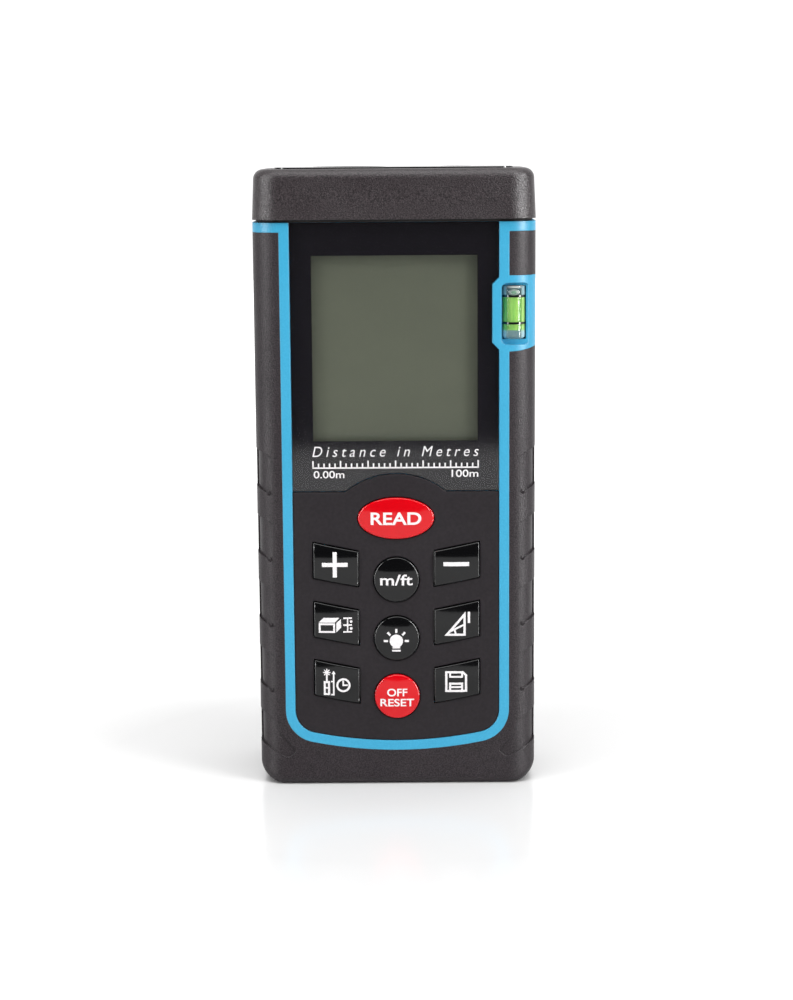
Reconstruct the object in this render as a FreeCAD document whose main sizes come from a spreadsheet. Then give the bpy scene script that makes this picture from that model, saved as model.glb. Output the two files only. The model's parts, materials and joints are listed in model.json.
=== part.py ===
"""Handheld laser distance meter: a parametric FreeCAD document, one object for each separate piece.

Row frame, millimetres: X to the right, Y to the back, Z up. The meter stands on its foot with the origin
under its middle, the keys and display face -Y, and the optics look up along +Z.
"""

import FreeCAD, Part
import math
import os
import re

import Sketcher
from FreeCAD import Placement, Rotation, Vector

doc = FreeCAD.newDocument("DistanceMeter")
sheet = doc.addObject("Spreadsheet::Sheet", "Dims")

# ---------------------------------------------------------------- driving dimensions

DIMS = {
    # housing envelope
    "body_width": (53.2, "width across the grips, and of the end cap"),
    "front_face": (-13.3, "plane of the strip and grips"),
    "back_face": (14.0, "plane of the rear shell and of the end cap's back"),
    "body_top": (107.9, "top of the housing, under the end cap"),
    "corner_radius": (5.0, "vertical corners, seen from above"),
    "foot_radius": (4.0, "lower corners, seen from the front"),
    "foot_edge": (1.6, "lower edges of the front and back"),
    "split_plane": (1.0, "where the front and rear halves meet"),
    "split_gap": (0.2, "visible line between the halves"),
    "skin": (1.0, "thickness of the rubber grip"),
    "wall": (1.6, "thickness of the moulded walls"),
    "rear_wall": (1.8, "thickness of the rear shell's back"),
    # blue strip and the recess inside it
    "recess_half": (19.6, "half width of the recess for window and key panel"),
    "strip_width": (1.85, "width of the coloured strip"),
    "recess_corner": (4.5, "lower corner radius of the recess"),
    "recess_sweep": (80.0, "radius of the recess's curved lower edge"),
    "recess_low": (8.68, "lowest point of the recess"),
    "recess_floor": (-11.9, "plane that window and key panel rest on"),
    "band_low": (106.1, "lower edge of the coloured band under the cap"),
    "panel_face": (-13.15, "front of window and key panel"),
    "fit_gap": (0.06, "gap round a piece that drops into a recess"),
    # display
    "window_low": (57.2, "straight lower edge of the display window"),
    "arch_radius": (15.2, "arch of the key panel into the window"),
    "arch_centre": (45.4, "height of the arch's centre"),
    "view_half": (15.55, "half width of the visible display"),
    "view_low": (66.8, "lower edge of the visible display"),
    "view_high": (101.7, "upper edge of the visible display"),
    "glass_half": (17.5, "half width of the display glass"),
    "glass_low": (63.6, "lower edge of the display glass"),
    "glass_high": (104.0, "upper edge of the display glass"),
    "glass_face": (-10.6, "front of the display glass"),
    "glass_back": (-8.6, "back of the display glass"),
    # keys
    "key_face": (-13.95, "crown of the keys"),
    "key_gap": (0.15, "gap between a key and its hole"),
    "flange_front": (-10.5, "front of a key's retaining flange"),
    "flange_back": (-9.9, "back of a key's retaining flange"),
    "flange_extra": (0.8, "how far the flange reaches past the key"),
    "plunger_radius": (1.4, "plunger under a key"),
    "plunger_end": (-8.45, "end of the plunger at rest"),
    "column_inner": (7.2, "inner edge of the side keys"),
    "column_outer": (15.8, "outer edge of the side keys"),
    "side_key_high": (47.55, "upper outer corner of the first side key"),
    "side_key_drop": (1.75, "fall of a side key towards the middle"),
    "side_key_tall": (6.85, "height of a side key's edge"),
    "row_pitch": (11.42, "distance between rows of keys"),
    "round_key_radius": (4.3, "radius of the round keys"),
    "round_key_first": (40.33, "centre height of the first round key"),
    "oval_half_width": (7.25, "half width of the measure key"),
    "oval_half_height": (3.95, "half height of the measure key"),
    "oval_height": (52.18, "centre height of the measure key"),
    "crown_radius": (30.0, "spherical crown of the keys"),
    "oval_crown_radius": (45.0, "spherical crown of the measure key"),
    "key_edge": (0.3, "rounding round a key's face"),
    # circuit board
    "board_front": (-7.2, "front of the main board"),
    "board_back": (-5.6, "back of the main board"),
    "board_half": (18.2, "half width of the main board"),
    "board_low": (8.6, "lower edge of the main board"),
    "board_high": (104.5, "upper edge of the main board"),
    "mat_front": (-8.9, "front of the silicone mat"),
    "mat_half": (17.2, "half width of the silicone mat"),
    "mat_low": (12.6, "lower edge of the silicone mat"),
    "mat_high": (57.6, "upper edge of the silicone mat"),
    "mat_opening": (2.3, "radius of the mat's opening round a plunger"),
    "dome_radius": (2.0, "radius of a switch dome's foot"),
    "dome_top": (1.3, "radius of a switch dome's top"),
    "dome_step": (0.2, "height of each of a switch dome's two steps"),
    "buzzer_side": (11.0, "X of the buzzer"),
    "buzzer_height": (36.0, "height of the buzzer's centre"),
    "buzzer_radius": (4.6, "radius of the buzzer"),
    "buzzer_tall": (3.2, "height of the buzzer over the board"),
    "buzzer_mouth": (0.9, "radius of the buzzer's sound hole"),
    "chip_tall": (1.2, "height of the chips over the board"),
    # end cap
    "cap_low": (108.4, "lower edge of the end cap"),
    "cap_high": (117.75, "top of the end cap"),
    "cap_front": (-14.0, "front of the end cap"),
    "cap_draft": (2.5, "draft of the cap's sides, degrees"),
    "cap_edge": (1.9, "rounding round the cap's top"),
    "cap_hollow_half": (25.0, "half width of the hollow in the cap"),
    "cap_hollow_depth": (12.0, "half depth of the hollow in the cap"),
    "cap_roof": (115.8, "underside of the cap's roof"),
    "neck_half": (24.8, "half width of the housing's neck"),
    "neck_depth": (11.8, "half depth of the housing's neck"),
    "neck_high": (114.4, "top of the housing's neck"),
    "neck_wall": (1.6, "wall of the neck"),
    "catch_half": (10.0, "half width of the neck's catches"),
    "catch_low": (111.0, "lower edge of the catches"),
    "catch_high": (112.0, "upper edge of the catches"),
    "catch_reach": (0.35, "how far the catches stand out from the neck"),
    "bezel_high": (118.0, "top of the optics bezel"),
    "bezel_low": (116.8, "seat of the optics bezel"),
    "bezel_half_width": (22.4, "half width of the optics bezel"),
    "bezel_half_depth": (10.6, "half depth of the optics bezel"),
    # optics
    "optic_depth": (2.4, "Y of both optical axes"),
    "receiver_side": (-8.5, "X of the receiving axis"),
    "emitter_side": (12.0, "X of the laser axis"),
    "receiver_glass": (7.0, "radius of the receiving window"),
    "emitter_glass": (2.9, "radius of the laser window"),
    "cone_radius": (7.7, "outer radius of the receiving tube"),
    "lens_radius": (6.7, "radius of the receiving lens"),
    "lens_seat": (98.0, "height of the receiving lens's seat"),
    "barrel_radius": (4.5, "radius of the laser barrel"),
    "barrel_low": (82.0, "lower end of the laser barrel"),
    "barrel_high": (105.0, "upper end of the laser barrel"),
    "bench_plate": (1.6, "thickness of the optic bench's plate"),
    "sensor_board_low": (65.6, "underside of the receiver's board"),
    "sensor_board_high": (66.8, "top of the receiver's board"),
    "shield_low": (62.2, "lower end of the receiver's shield"),
    "shield_wall": (0.3, "wall of the receiver's shield"),
    # battery bay
    "cell_radius": (5.2, "AAA cell, 10.4 across"),
    "cell_side": (5.6, "X of each cell's axis"),
    "cell_depth": (6.5, "Y of each cell's axis"),
    "cell_length": (44.5, "AAA cell over its nub"),
    "nub_radius": (1.9, "AAA cell's positive nub"),
    "nub_height": (0.8, "AAA cell's positive nub"),
    "bay_half": (11.4, "half width of the battery bay"),
    "bay_low": (9.6, "floor of the battery bay"),
    "bay_high": (58.4, "roof of the battery bay"),
    "bay_front": (0.8, "front of the battery bay"),
    "tray_wall": (1.1, "wall of the battery tray"),
    "cell_gap": (3.75, "distance of a cell's flat end from the end of the bay"),
    "plate_half": (10.0, "half width of the contact plates"),
    "plate_front": (2.6, "front edge of the contact plates"),
    "plate_back": (10.4, "back edge of the contact plates"),
    "plate_gap": (1.4, "half the gap between the two upper contact plates"),
    "coil_base": (0.8, "distance of a spring from the end of the bay"),
    "coil_tall": (2.7, "working length of a battery spring"),
    "coil_radius": (2.7, "radius of a battery spring, to the middle of its wire"),
    "coil_pitch": (0.9, "rise of each turn of a battery spring"),
    "wire_radius": (0.27, "radius of the spring's wire"),
    "door_half": (15.0, "half width of the recess for the battery door"),
    "door_low": (8.4, "lower edge of the door's recess"),
    "door_high": (59.6, "upper edge of the door's recess"),
    "door_seat": (12.3, "plane that the door closes on"),
    "door_gap": (0.2, "gap round the door"),
    "hook_side": (9.4, "X of the door's hooks"),
    "hook_half": (1.6, "half width of a hook"),
    "hook_under": (1.3, "how far a hook reaches inwards from the door's seat"),
    "scoop_radius": (9.0, "radius of the thumb scoop over the door"),
    "scoop_rise": (7.9, "distance of the scoop's centre behind the back"),
    "rib_half": (9.0, "half width of the door's grip grooves"),
    "rib_pitch": (1.5, "distance between the grip grooves"),
    "rib_high": (9.9, "distance of the first groove under the recess's upper edge"),
    "rib_tall": (0.7, "height of a grip groove"),
    "rib_depth": (0.35, "depth of a grip groove"),
    # spirit level
    "cradle_inner": (18.3, "inner edge of the vial's cradle"),
    "cradle_low": (83.7, "lower edge of the cradle"),
    "cradle_high": (97.9, "upper edge of the cradle"),
    "cradle_back": (-8.0, "back of the cradle"),
    "cradle_sweep": (15.0, "radius of the cradle's lower edge near the side"),
    "dish_inner": (19.95, "inner side of the shallow dish round the vial"),
    "dish_outer": (25.3, "outer side of the dish"),
    "dish_low": (84.9, "lower side of the dish"),
    "dish_high": (96.5, "upper side of the dish"),
    "dish_floor": (-11.9, "floor of the dish"),
    "vial_side": (22.38, "X of the vial's axis"),
    "vial_depth": (-10.9, "Y of the vial's axis"),
    "vial_low": (86.0, "lower end of the vial"),
    "vial_high": (95.9, "upper end of the vial"),
    "vial_radius": (2.15, "outside of the vial"),
    "vial_bore": (1.75, "inside of the vial"),
    "vial_base": (1.6, "thickness of the vial's closed end"),
    "plug_tall": (0.4, "thickness of the plug in the vial's other end"),
    "pocket_gap": (0.08, "gap round the vial in its pocket"),
    "ring_low": (88.75, "lower ring on the vial"),
    "ring_high": (93.8, "upper ring on the vial"),
    "bubble_radius": (1.3, "radius of the bubble"),
    "bubble_tall": (1.5, "height of the bubble"),
    # fasteners
    "upper_screw_side": (21.0, "X of the upper four housing screws"),
    "lower_screw_side": (17.0, "X of the lower two housing screws"),
    "lower_screw_height": (4.8, "height of the lower two housing screws"),
    "middle_screw_height": (62.0, "height of the middle two housing screws"),
    "top_screw_height": (102.0, "height of the top two housing screws"),
    "screw_seat": (4.0, "Y of the seat under a housing screw's head"),
    "screw_tip": (-5.5, "front end of a housing screw"),
    "screw_radius": (0.9, "radius of a housing screw"),
    "head_radius": (1.9, "radius of a housing screw's head"),
    "head_tall": (1.4, "height of a housing screw's head"),
    "cross_floor": (0.6, "floor of the cross recess, over the seat"),
    "cross_half": (1.1, "half length of the cross recess's arms"),
    "cross_thick": (0.25, "half thickness of the cross recess's arms"),
    "pilot_radius": (1.0, "pilot hole of a housing screw"),
    "pilot_floor": (-6.0, "bottom of a housing screw's pilot hole"),
    "boss_radius": (2.4, "boss round a housing screw's pilot hole"),
    "tower_radius": (3.1, "screw tower in the rear shell"),
    "counterbore_radius": (2.1, "counterbore for a housing screw's head"),
    "shank_hole_radius": (1.1, "clearance hole of a housing screw"),
    "board_screw_radius": (0.75, "radius of a board screw"),
    "board_screw_tip": (-10.4, "front end of a board screw"),
    "board_head_radius": (1.6, "radius of a board screw's head"),
    "board_head_tall": (1.1, "height of a board screw's head"),
    "board_post_radius": (1.8, "post under the board"),
    "board_pilot_radius": (0.8, "pilot hole of a board screw"),
    "board_pilot_floor": (-10.6, "bottom of a board screw's pilot hole"),
    "bench_screw_radius": (0.8, "radius of a bench screw, and of its hole in the board"),
    "bench_head_radius": (1.5, "radius of a bench screw's head"),
    "bench_head_tall": (1.0, "height of a bench screw's head"),
    # label on the back
    "label_half": (17.5, "half width of the label's recess"),
    "label_low": (67.0, "lower edge of the label's recess"),
    "label_high": (97.0, "upper edge of the label's recess"),
    "label_corner": (1.5, "corner radius of the label's recess"),
    "label_gap": (0.2, "gap round the label, and depth of its recess"),
    # finger dents in the grip's corners
    "dent_inner": (23.4, "inner edge of the four plain dents"),
    "dent_high": (65.4, "upper edge of the first dent, at the side"),
    "dent_tall": (7.25, "height of a dent"),
    "dent_pitch": (12.8, "distance between dents"),
    "dent_slope": (0.47, "rise of a dent's edges towards the side"),
    "dent_side": (0.5, "depth of a dent at the side"),
    "dent_front": (0.25, "depth of a dent's floor behind the front plane"),
    "dent_corner": (4.4, "corner radius of the dents' floor"),
    "dent_end": (-7.0, "plane where the dents end, behind the corner"),
    "nick_length": (2.0, "length of the nick at a dent's lower inner corner"),
    "nick_width": (0.85, "width of the nick"),
    "nick_floor": (-12.4, "floor of the nick"),
    # lanyard hole
    "lanyard_radius": (1.1, "radius of the lanyard hole"),
    "lanyard_reach": (6.5, "distance of the hole's mouths from the corner"),
    "lanyard_depth": (8.6, "Y of the lanyard hole"),
    # small gaps
    "slip": (0.05, "gap between parts that are laid together"),
}

for row, (alias, (value, note)) in enumerate(DIMS.items(), 1):
    sheet.set(f"A{row}", note)
    sheet.set(f"B{row}", str(value))
    sheet.setAlias(f"B{row}", alias)
doc.recompute()


def full(text):
    """The expression text with every alias written as a cell of the sheet."""
    return re.sub(r"[a-z][a-z_]*", lambda m: f"Dims.{m[0]}" if m[0] in DIMS else m[0], str(text))


def number(text):
    """The expression's value now."""
    return float(sheet.evalExpression(full(text)))


# ---------------------------------------------------------------- sketch helpers


def bind(sketch, constraint, text):
    """Adds a dimension to the sketch and binds it to the expression."""
    index = sketch.addConstraint(Sketcher.Constraint(*constraint, number(text)))
    name = f"size{index}"
    sketch.renameConstraint(index, name)
    sketch.setExpression(f"Constraints.{name}", full(text))


def place_point(sketch, item, point, across, up):
    """Dimensions one point of the sketch from the sketch's origin."""
    bind(sketch, ("DistanceX", -1, 1, item, point), across)
    bind(sketch, ("DistanceY", -1, 1, item, point), up)


def end_at(sketch, item, spot):
    """Which end of the sketch's item lies at the spot: 1 for its start, 2 for its end."""
    return 1 if sketch.getPoint(item, 1).distanceToPoint(spot) < 1e-6 else 2


def polygon(points):
    """A closed outline through points given as pairs of expressions. A third value, itself a pair, bows the
    line that follows its point into an arc through that pair."""

    def draw(sketch):
        spots = [Vector(number(p[0]), number(p[1]), 0) for p in points]
        items = []
        for k, p in enumerate(points):
            start, end = spots[k], spots[(k + 1) % len(spots)]
            if len(p) == 3:
                middle = Vector(number(p[2][0]), number(p[2][1]), 0)
                items.append(sketch.addGeometry(Part.Arc(start, middle, end)))
            else:
                items.append(sketch.addGeometry(Part.LineSegment(start, end)))
        for k, item in enumerate(items):
            mate = items[k - 1]
            at, mate_at = end_at(sketch, item, spots[k]), end_at(sketch, mate, spots[k])
            sketch.addConstraint(Sketcher.Constraint("Coincident", mate, mate_at, item, at))
        for item, p, spot in zip(items, points, spots):
            place_point(sketch, item, end_at(sketch, item, spot), p[0], p[1])
            if len(p) == 3:
                bow = sketch.addGeometry(Part.Point(Vector(number(p[2][0]), number(p[2][1]), 0)), True)
                place_point(sketch, bow, 1, *p[2])
                sketch.addConstraint(Sketcher.Constraint("PointOnObject", bow, 1, item))

    return draw


def rectangle(left, low, right, high):
    """A rectangle between two opposite corners."""
    return polygon([(left, low), (right, low), (right, high), (left, high)])


def circle(across, up, radius):
    """A circle about a point."""

    def draw(sketch):
        item = sketch.addGeometry(
            Part.Circle(Vector(number(across), number(up), 0), Vector(0, 0, 1), number(radius))
        )
        place_point(sketch, item, 3, across, up)
        bind(sketch, ("Radius", item), radius)

    return draw


def ellipse(up, half_width, half_height):
    """An ellipse on the vertical axis, wider than it is tall."""

    def draw(sketch):
        centre = Vector(0, number(up), 0)
        item = sketch.addGeometry(
            Part.Ellipse(
                centre + Vector(number(half_width), 0, 0), centre + Vector(0, number(half_height), 0),
                centre
            )
        )
        sketch.exposeInternalGeometry(item)
        place_point(sketch, item, 3, 0, up)
        major, minor = item + 1, item + 2
        sketch.addConstraint(Sketcher.Constraint("Horizontal", major))
        bind(sketch, ("Distance", major), f"2*({half_width})")
        bind(sketch, ("Distance", minor), f"2*({half_height})")

    return draw


def slot(across, up, length, width, slope):
    """A slanted slot with round ends, about its middle point."""
    lean = f"sqrt(1 + ({slope})^2)"
    run = f"(({length}) - ({width}))/2/{lean}"
    off = f"({width})/2/{lean}"

    def corner(way, side):
        return (
            f"({across}) + {way}*{run} - {side}*{off}*({slope})",
            f"({up}) + {way}*{run}*({slope}) + {side}*{off}",
        )

    def tip(way):
        reach = f"({length})/2/{lean}"
        return (f"({across}) + {way}*{reach}", f"({up}) + {way}*{reach}*({slope})")

    return polygon([corner(-1, -1), (*corner(1, -1), tip(1)), corner(1, 1), (*corner(-1, 1), tip(-1))])


def rounded(left, low, right, high, radius, corners="all"):
    """A rectangle with rounded corners: all four, or only the two low ones."""

    def draw(sketch):
        x0, y0, x1, y1, r = (number(t) for t in (left, low, right, high, radius))
        quarter = math.pi / 2
        arcs_at = [((x0 + r, y0 + r), 2), ((x1 - r, y0 + r), 3)]
        top = r if corners == "all" else 0.0
        if corners == "all":
            arcs_at += [((x1 - r, y1 - r), 0), ((x0 + r, y1 - r), 1)]
        up = Vector(0, 0, 1)
        arcs = [
            sketch.addGeometry(
                Part.ArcOfCircle(Part.Circle(Vector(*c, 0), up, r), q * quarter, (q + 1) * quarter)
            )
            for c, q in arcs_at
        ]
        ends = [
            (Vector(x0 + r, y0, 0), Vector(x1 - r, y0, 0)),
            (Vector(x1, y0 + r, 0), Vector(x1, y1 - top, 0)),
            (Vector(x1 - top, y1, 0), Vector(x0 + top, y1, 0)),
            (Vector(x0, y1 - top, 0), Vector(x0, y0 + r, 0)),
        ]
        base, right_line, top_line, left_line = (sketch.addGeometry(Part.LineSegment(*e)) for e in ends)
        joins = [
            (arcs[0], 2, base, 1),
            (base, 2, arcs[1], 1),
            (arcs[1], 2, right_line, 1),
            (left_line, 2, arcs[0], 1),
        ]
        if corners == "all":
            joins += [
                (right_line, 2, arcs[2], 1),
                (arcs[2], 2, top_line, 1),
                (top_line, 2, arcs[3], 1),
                (arcs[3], 2, left_line, 1),
            ]
        else:
            for join in ((right_line, 2, top_line, 1), (top_line, 2, left_line, 1)):
                sketch.addConstraint(Sketcher.Constraint("Coincident", *join))
            sketch.addConstraint(Sketcher.Constraint("Vertical", right_line))
            sketch.addConstraint(Sketcher.Constraint("Horizontal", top_line))
        for join in joins:
            sketch.addConstraint(Sketcher.Constraint("Tangent", *join))
        sketch.addConstraint(Sketcher.Constraint("Horizontal", base))
        sketch.addConstraint(Sketcher.Constraint("Vertical", left_line))
        for arc in arcs[1:]:
            sketch.addConstraint(Sketcher.Constraint("Equal", arcs[0], arc))
        bind(sketch, ("Radius", arcs[0]), radius)
        bind(sketch, ("DistanceY", -1, 1, base, 1), low)
        bind(sketch, ("DistanceX", -1, 1, left_line, 1), left)
        bind(sketch, ("DistanceX", -1, 1, right_line, 1), right)
        bind(sketch, ("DistanceY", -1, 1, top_line, 1), high)

    return draw


def cup(grow, high):
    """The recess's outline grown by a margin: straight sides, rounded corners and a curved lower edge."""
    side, corner = f"(recess_half + {grow})", f"(recess_corner + {grow})"
    sweep, low = f"(recess_sweep + {grow})", f"(recess_low - {grow})"

    def draw(sketch):
        a, r, big, base, top = (number(t) for t in (side, corner, sweep, low, high))
        centre_up = base + big
        corner_up = centre_up - math.sqrt((big - r) ** 2 - (a - r) ** 2)
        lean = math.atan2(a - r, centre_up - corner_up)
        axis = Vector(0, 0, 1)
        down = -math.pi / 2
        left_arc = sketch.addGeometry(
            Part.ArcOfCircle(
                Part.Circle(Vector(r - a, corner_up, 0), axis, r), math.pi, 1.5 * math.pi - lean
            )
        )
        low_arc = sketch.addGeometry(
            Part.ArcOfCircle(Part.Circle(Vector(0, centre_up, 0), axis, big), down - lean, down + lean)
        )
        right_arc = sketch.addGeometry(
            Part.ArcOfCircle(Part.Circle(Vector(a - r, corner_up, 0), axis, r), down + lean, 0)
        )
        right_line = sketch.addGeometry(Part.LineSegment(Vector(a, corner_up, 0), Vector(a, top, 0)))
        top_line = sketch.addGeometry(Part.LineSegment(Vector(a, top, 0), Vector(-a, top, 0)))
        left_line = sketch.addGeometry(Part.LineSegment(Vector(-a, top, 0), Vector(-a, corner_up, 0)))
        for join in (
            (left_line, 2, left_arc, 1),
            (left_arc, 2, low_arc, 1),
            (low_arc, 2, right_arc, 1),
            (right_arc, 2, right_line, 1),
        ):
            sketch.addConstraint(Sketcher.Constraint("Tangent", *join))
        for join in ((right_line, 2, top_line, 1), (top_line, 2, left_line, 1)):
            sketch.addConstraint(Sketcher.Constraint("Coincident", *join))
        sketch.addConstraint(Sketcher.Constraint("Vertical", right_line))
        sketch.addConstraint(Sketcher.Constraint("Vertical", left_line))
        sketch.addConstraint(Sketcher.Constraint("Horizontal", top_line))
        sketch.addConstraint(Sketcher.Constraint("Equal", left_arc, right_arc))
        bind(sketch, ("Radius", left_arc), corner)
        bind(sketch, ("Radius", low_arc), sweep)
        place_point(sketch, low_arc, 3, 0, f"{low} + {sweep}")
        bind(sketch, ("DistanceX", -1, 1, right_line, 2), side)
        bind(sketch, ("DistanceX", -1, 1, left_line, 1), f"-{side}")
        bind(sketch, ("DistanceY", -1, 1, top_line, 1), high)

    return draw


# ---------------------------------------------------------------- solids made of Part features

TURN_FRONT = Rotation(Vector(1, 0, 0), 90)  # a sketch drawn as seen from the front: normal towards -Y
TURN_SIDE = Rotation(Vector(1, 1, 1), 120)  # a sketch of Y across and Z up: normal towards +X


def shift(item, across="0", deep="0", up="0"):
    """Binds where the object stands."""
    for letter, text in (("x", across), ("y", deep), ("z", up)):
        item.setExpression(f"Placement.Base.{letter}", full(text))


def extrude(name, draw, start, end, view="top"):
    """A prism between two parallel planes: view top runs along Z, front along Y and side along X."""
    sketch = doc.addObject("Sketcher::SketchObject", name + "_outline")
    draws = draw if isinstance(draw, (list, tuple)) else [draw]
    for one in draws:
        one(sketch)
    if view == "front":
        sketch.Placement = Placement(Vector(), TURN_FRONT)
        shift(sketch, deep=end)
    elif view == "side":
        sketch.Placement = Placement(Vector(), TURN_SIDE)
        shift(sketch, across=start)
    else:
        shift(sketch, up=start)
    prism = doc.addObject("Part::Extrusion", name)
    prism.Base = sketch
    prism.DirMode = "Normal"
    prism.Solid = True
    prism.setExpression("LengthFwd", full(f"({end}) - ({start})"))
    return prism


def block(name, left, front, low, right, back, high):
    """A box between two opposite corners."""
    item = doc.addObject("Part::Box", name)
    item.setExpression("Length", full(f"({right}) - ({left})"))
    item.setExpression("Width", full(f"({back}) - ({front})"))
    item.setExpression("Height", full(f"({high}) - ({low})"))
    shift(item, left, front, low)
    return item


def rod(name, across, up, radius, front, back):
    """A cylinder along Y between two planes."""
    item = doc.addObject("Part::Cylinder", name)
    item.Placement = Placement(Vector(), Rotation(Vector(1, 0, 0), -90))
    item.setExpression("Radius", full(radius))
    item.setExpression("Height", full(f"({back}) - ({front})"))
    shift(item, across, front, up)
    return item


def post(name, across, deep, radius, low, high):
    """A cylinder along Z between two heights."""
    item = doc.addObject("Part::Cylinder", name)
    item.setExpression("Radius", full(radius))
    item.setExpression("Height", full(f"({high}) - ({low})"))
    shift(item, across, deep, low)
    return item


def fuse(name, *items):
    """One object of several: solids that touch become one."""
    item = doc.addObject("Part::MultiFuse", name)
    item.Shapes = list(items)
    item.Refine = True
    return item


def common(name, first, second):
    """What two objects share."""
    item = doc.addObject("Part::MultiCommon", name)
    item.Shapes = [first, second]
    item.Refine = True
    return item


def cut(name, base, *tools):
    """The base without the tools. Every tool has to take some material away."""
    tool = tools[0] if len(tools) == 1 else fuse(name + "_tools", *tools)
    item = doc.addObject("Part::Cut", name)
    item.Base = base
    item.Tool = tool
    item.Refine = True
    doc.recompute()
    if item.Shape.Volume > base.Shape.Volume - 1e-4:
        raise RuntimeError(f"{name}: the cut takes nothing away")
    return item


def soften(name, base, radius, keep):
    """Rounds the edges of the base that keep(edge) picks, by a radius from the sheet."""
    doc.recompute()
    size = number(radius)
    picked = [(k, size, size) for k, edge in enumerate(base.Shape.Edges, 1) if keep(edge)]
    if not picked:
        raise RuntimeError(f"{name}: no edge to round")
    item = doc.addObject("Part::Fillet", name)
    item.Base = base
    item.Edges = picked
    return item


# ---------------------------------------------------------------- solids made in PartDesign bodies


def new_body(name):
    """An empty body, which may hold several separate solids."""
    body = doc.addObject("PartDesign::Body", name)
    body.AllowCompound = True
    return body


def sketch_in(body, role, offset, draws):
    """A sketch on one of the body's own planes, moved along the plane's normal."""
    sketch = body.newObject("Sketcher::SketchObject", body.Name + "_sketch")
    sketch.AttachmentSupport = [(next(f for f in body.Origin.OriginFeatures if f.Role == role), "")]
    sketch.MapMode = "FlatFace"
    sketch.setExpression("AttachmentOffset.Base.z", full(offset))
    for draw in draws:
        draw(sketch)
    return sketch


def feature(body, kind, sketch, length, backwards):
    """Adds a Pad or Pocket of the sketch and checks that it changes the body the right way."""
    before = body.Shape.Volume if body.Tip else 0.0
    item = body.newObject("PartDesign::" + kind, f"{body.Name}_{kind.lower()}")
    item.Profile = sketch
    item.setExpression("Length", full(length))
    item.Reversed = backwards
    doc.recompute()
    change = body.Shape.Volume - before
    if (change < 1e-6) if kind == "Pad" else (change > -1e-6):
        raise RuntimeError(f"{body.Name}: {kind} changes nothing")
    return item


def pad_deep(body, front, back, *draws):
    """Adds material between two planes across Y."""
    sketch = sketch_in(body, "XZ_Plane", f"-({front})", draws)
    return feature(body, "Pad", sketch, f"({back}) - ({front})", True)


def pocket_deep(body, front, back, *draws):
    """Removes material between two planes across Y."""
    sketch = sketch_in(body, "XZ_Plane", f"-({front})", draws)
    return feature(body, "Pocket", sketch, f"({back}) - ({front})", False)


def pad_up(body, low, high, *draws):
    """Adds material between two heights."""
    sketch = sketch_in(body, "XY_Plane", low, draws)
    return feature(body, "Pad", sketch, f"({high}) - ({low})", False)


def pocket_down(body, low, high, *draws):
    """Removes material between two heights."""
    sketch = sketch_in(body, "XY_Plane", high, draws)
    return feature(body, "Pocket", sketch, f"({high}) - ({low})", False)


def pad_side(body, left, right, *draws):
    """Adds material between two planes across X. The sketch has Y across and Z up."""
    sketch = sketch_in(body, "YZ_Plane", left, draws)
    return feature(body, "Pad", sketch, f"({right}) - ({left})", False)


def turned(name, points, across, deep):
    """A piece turned about an upright axis from pairs of radius and height."""
    body = new_body(name)
    sketch = sketch_in(body, "XZ_Plane", "0", [polygon(points)])
    item = body.newObject("PartDesign::Revolution", name + "_turning")
    item.Profile = sketch
    item.ReferenceAxis = (sketch, ["V_Axis"])
    item.Angle = 360
    shift(body, across, deep)
    return body


made = []


def keep(name, item):
    """Marks the object as a piece of the meter, under its node's name."""
    item.Label = name
    made.append(item)
    return item


# ---------------------------------------------------------------- housing


def housing_block(name, inset, back):
    """The housing's outer form moved inwards by an inset, with its upright and lower edges rounded."""
    side = f"(body_width/2 - {inset})"
    base = block(name + "_box", f"-{side}", f"front_face + {inset}", inset, side, back, "body_top")
    doc.recompute()
    picked = []
    for k, edge in enumerate(base.Shape.Edges, 1):
        box = edge.BoundBox
        if box.ZLength > 1:
            radius = "corner_radius"
        elif box.ZMax > number("body_top") - 1:
            continue
        elif box.YLength > 1:
            radius = "foot_radius"
        else:
            radius = "foot_edge"
        size = number(f"{radius} - {inset}")
        picked.append((k, size, size))
    item = doc.addObject("Part::Fillet", name)
    item.Base = base
    item.Edges = picked
    return item


SCREWS = [
    (f"{sign}{side}", height)
    for side, height in (
        ("lower_screw_side", "lower_screw_height"),
        ("upper_screw_side", "middle_screw_height"),
        ("upper_screw_side", "top_screw_height"),
    )
    for sign in ("-", "")
]
BOARD_SCREWS = [("-16", "61.3"), ("16", "61.3"), ("-14", "10.4"), ("14", "10.4")]
BENCH_SCREWS = [("-15.3", "72"), ("15.5", "73"), ("3", "100")]


def side_key(side, row, grow):
    """Corner points of a side key grown by a margin: side is -1 for the left column, rows count down."""
    sign = "-" if side < 0 else ""
    high = f"side_key_high - {row}*row_pitch"
    slope = "side_key_drop/(column_outer - column_inner)"
    inner, outer = f"{sign}(column_inner - {grow})", f"{sign}(column_outer + {grow})"
    lift = f"{grow}*(1.02 + {slope})"
    sink = f"{grow}*(1.02 - {slope})"
    return [
        (outer, f"{high} + {lift}"),
        (outer, f"{high} - side_key_tall - {sink}"),
        (inner, f"{high} - side_key_drop - side_key_tall - {lift}"),
        (inner, f"{high} - side_key_drop + {sink}"),
    ]


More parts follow.
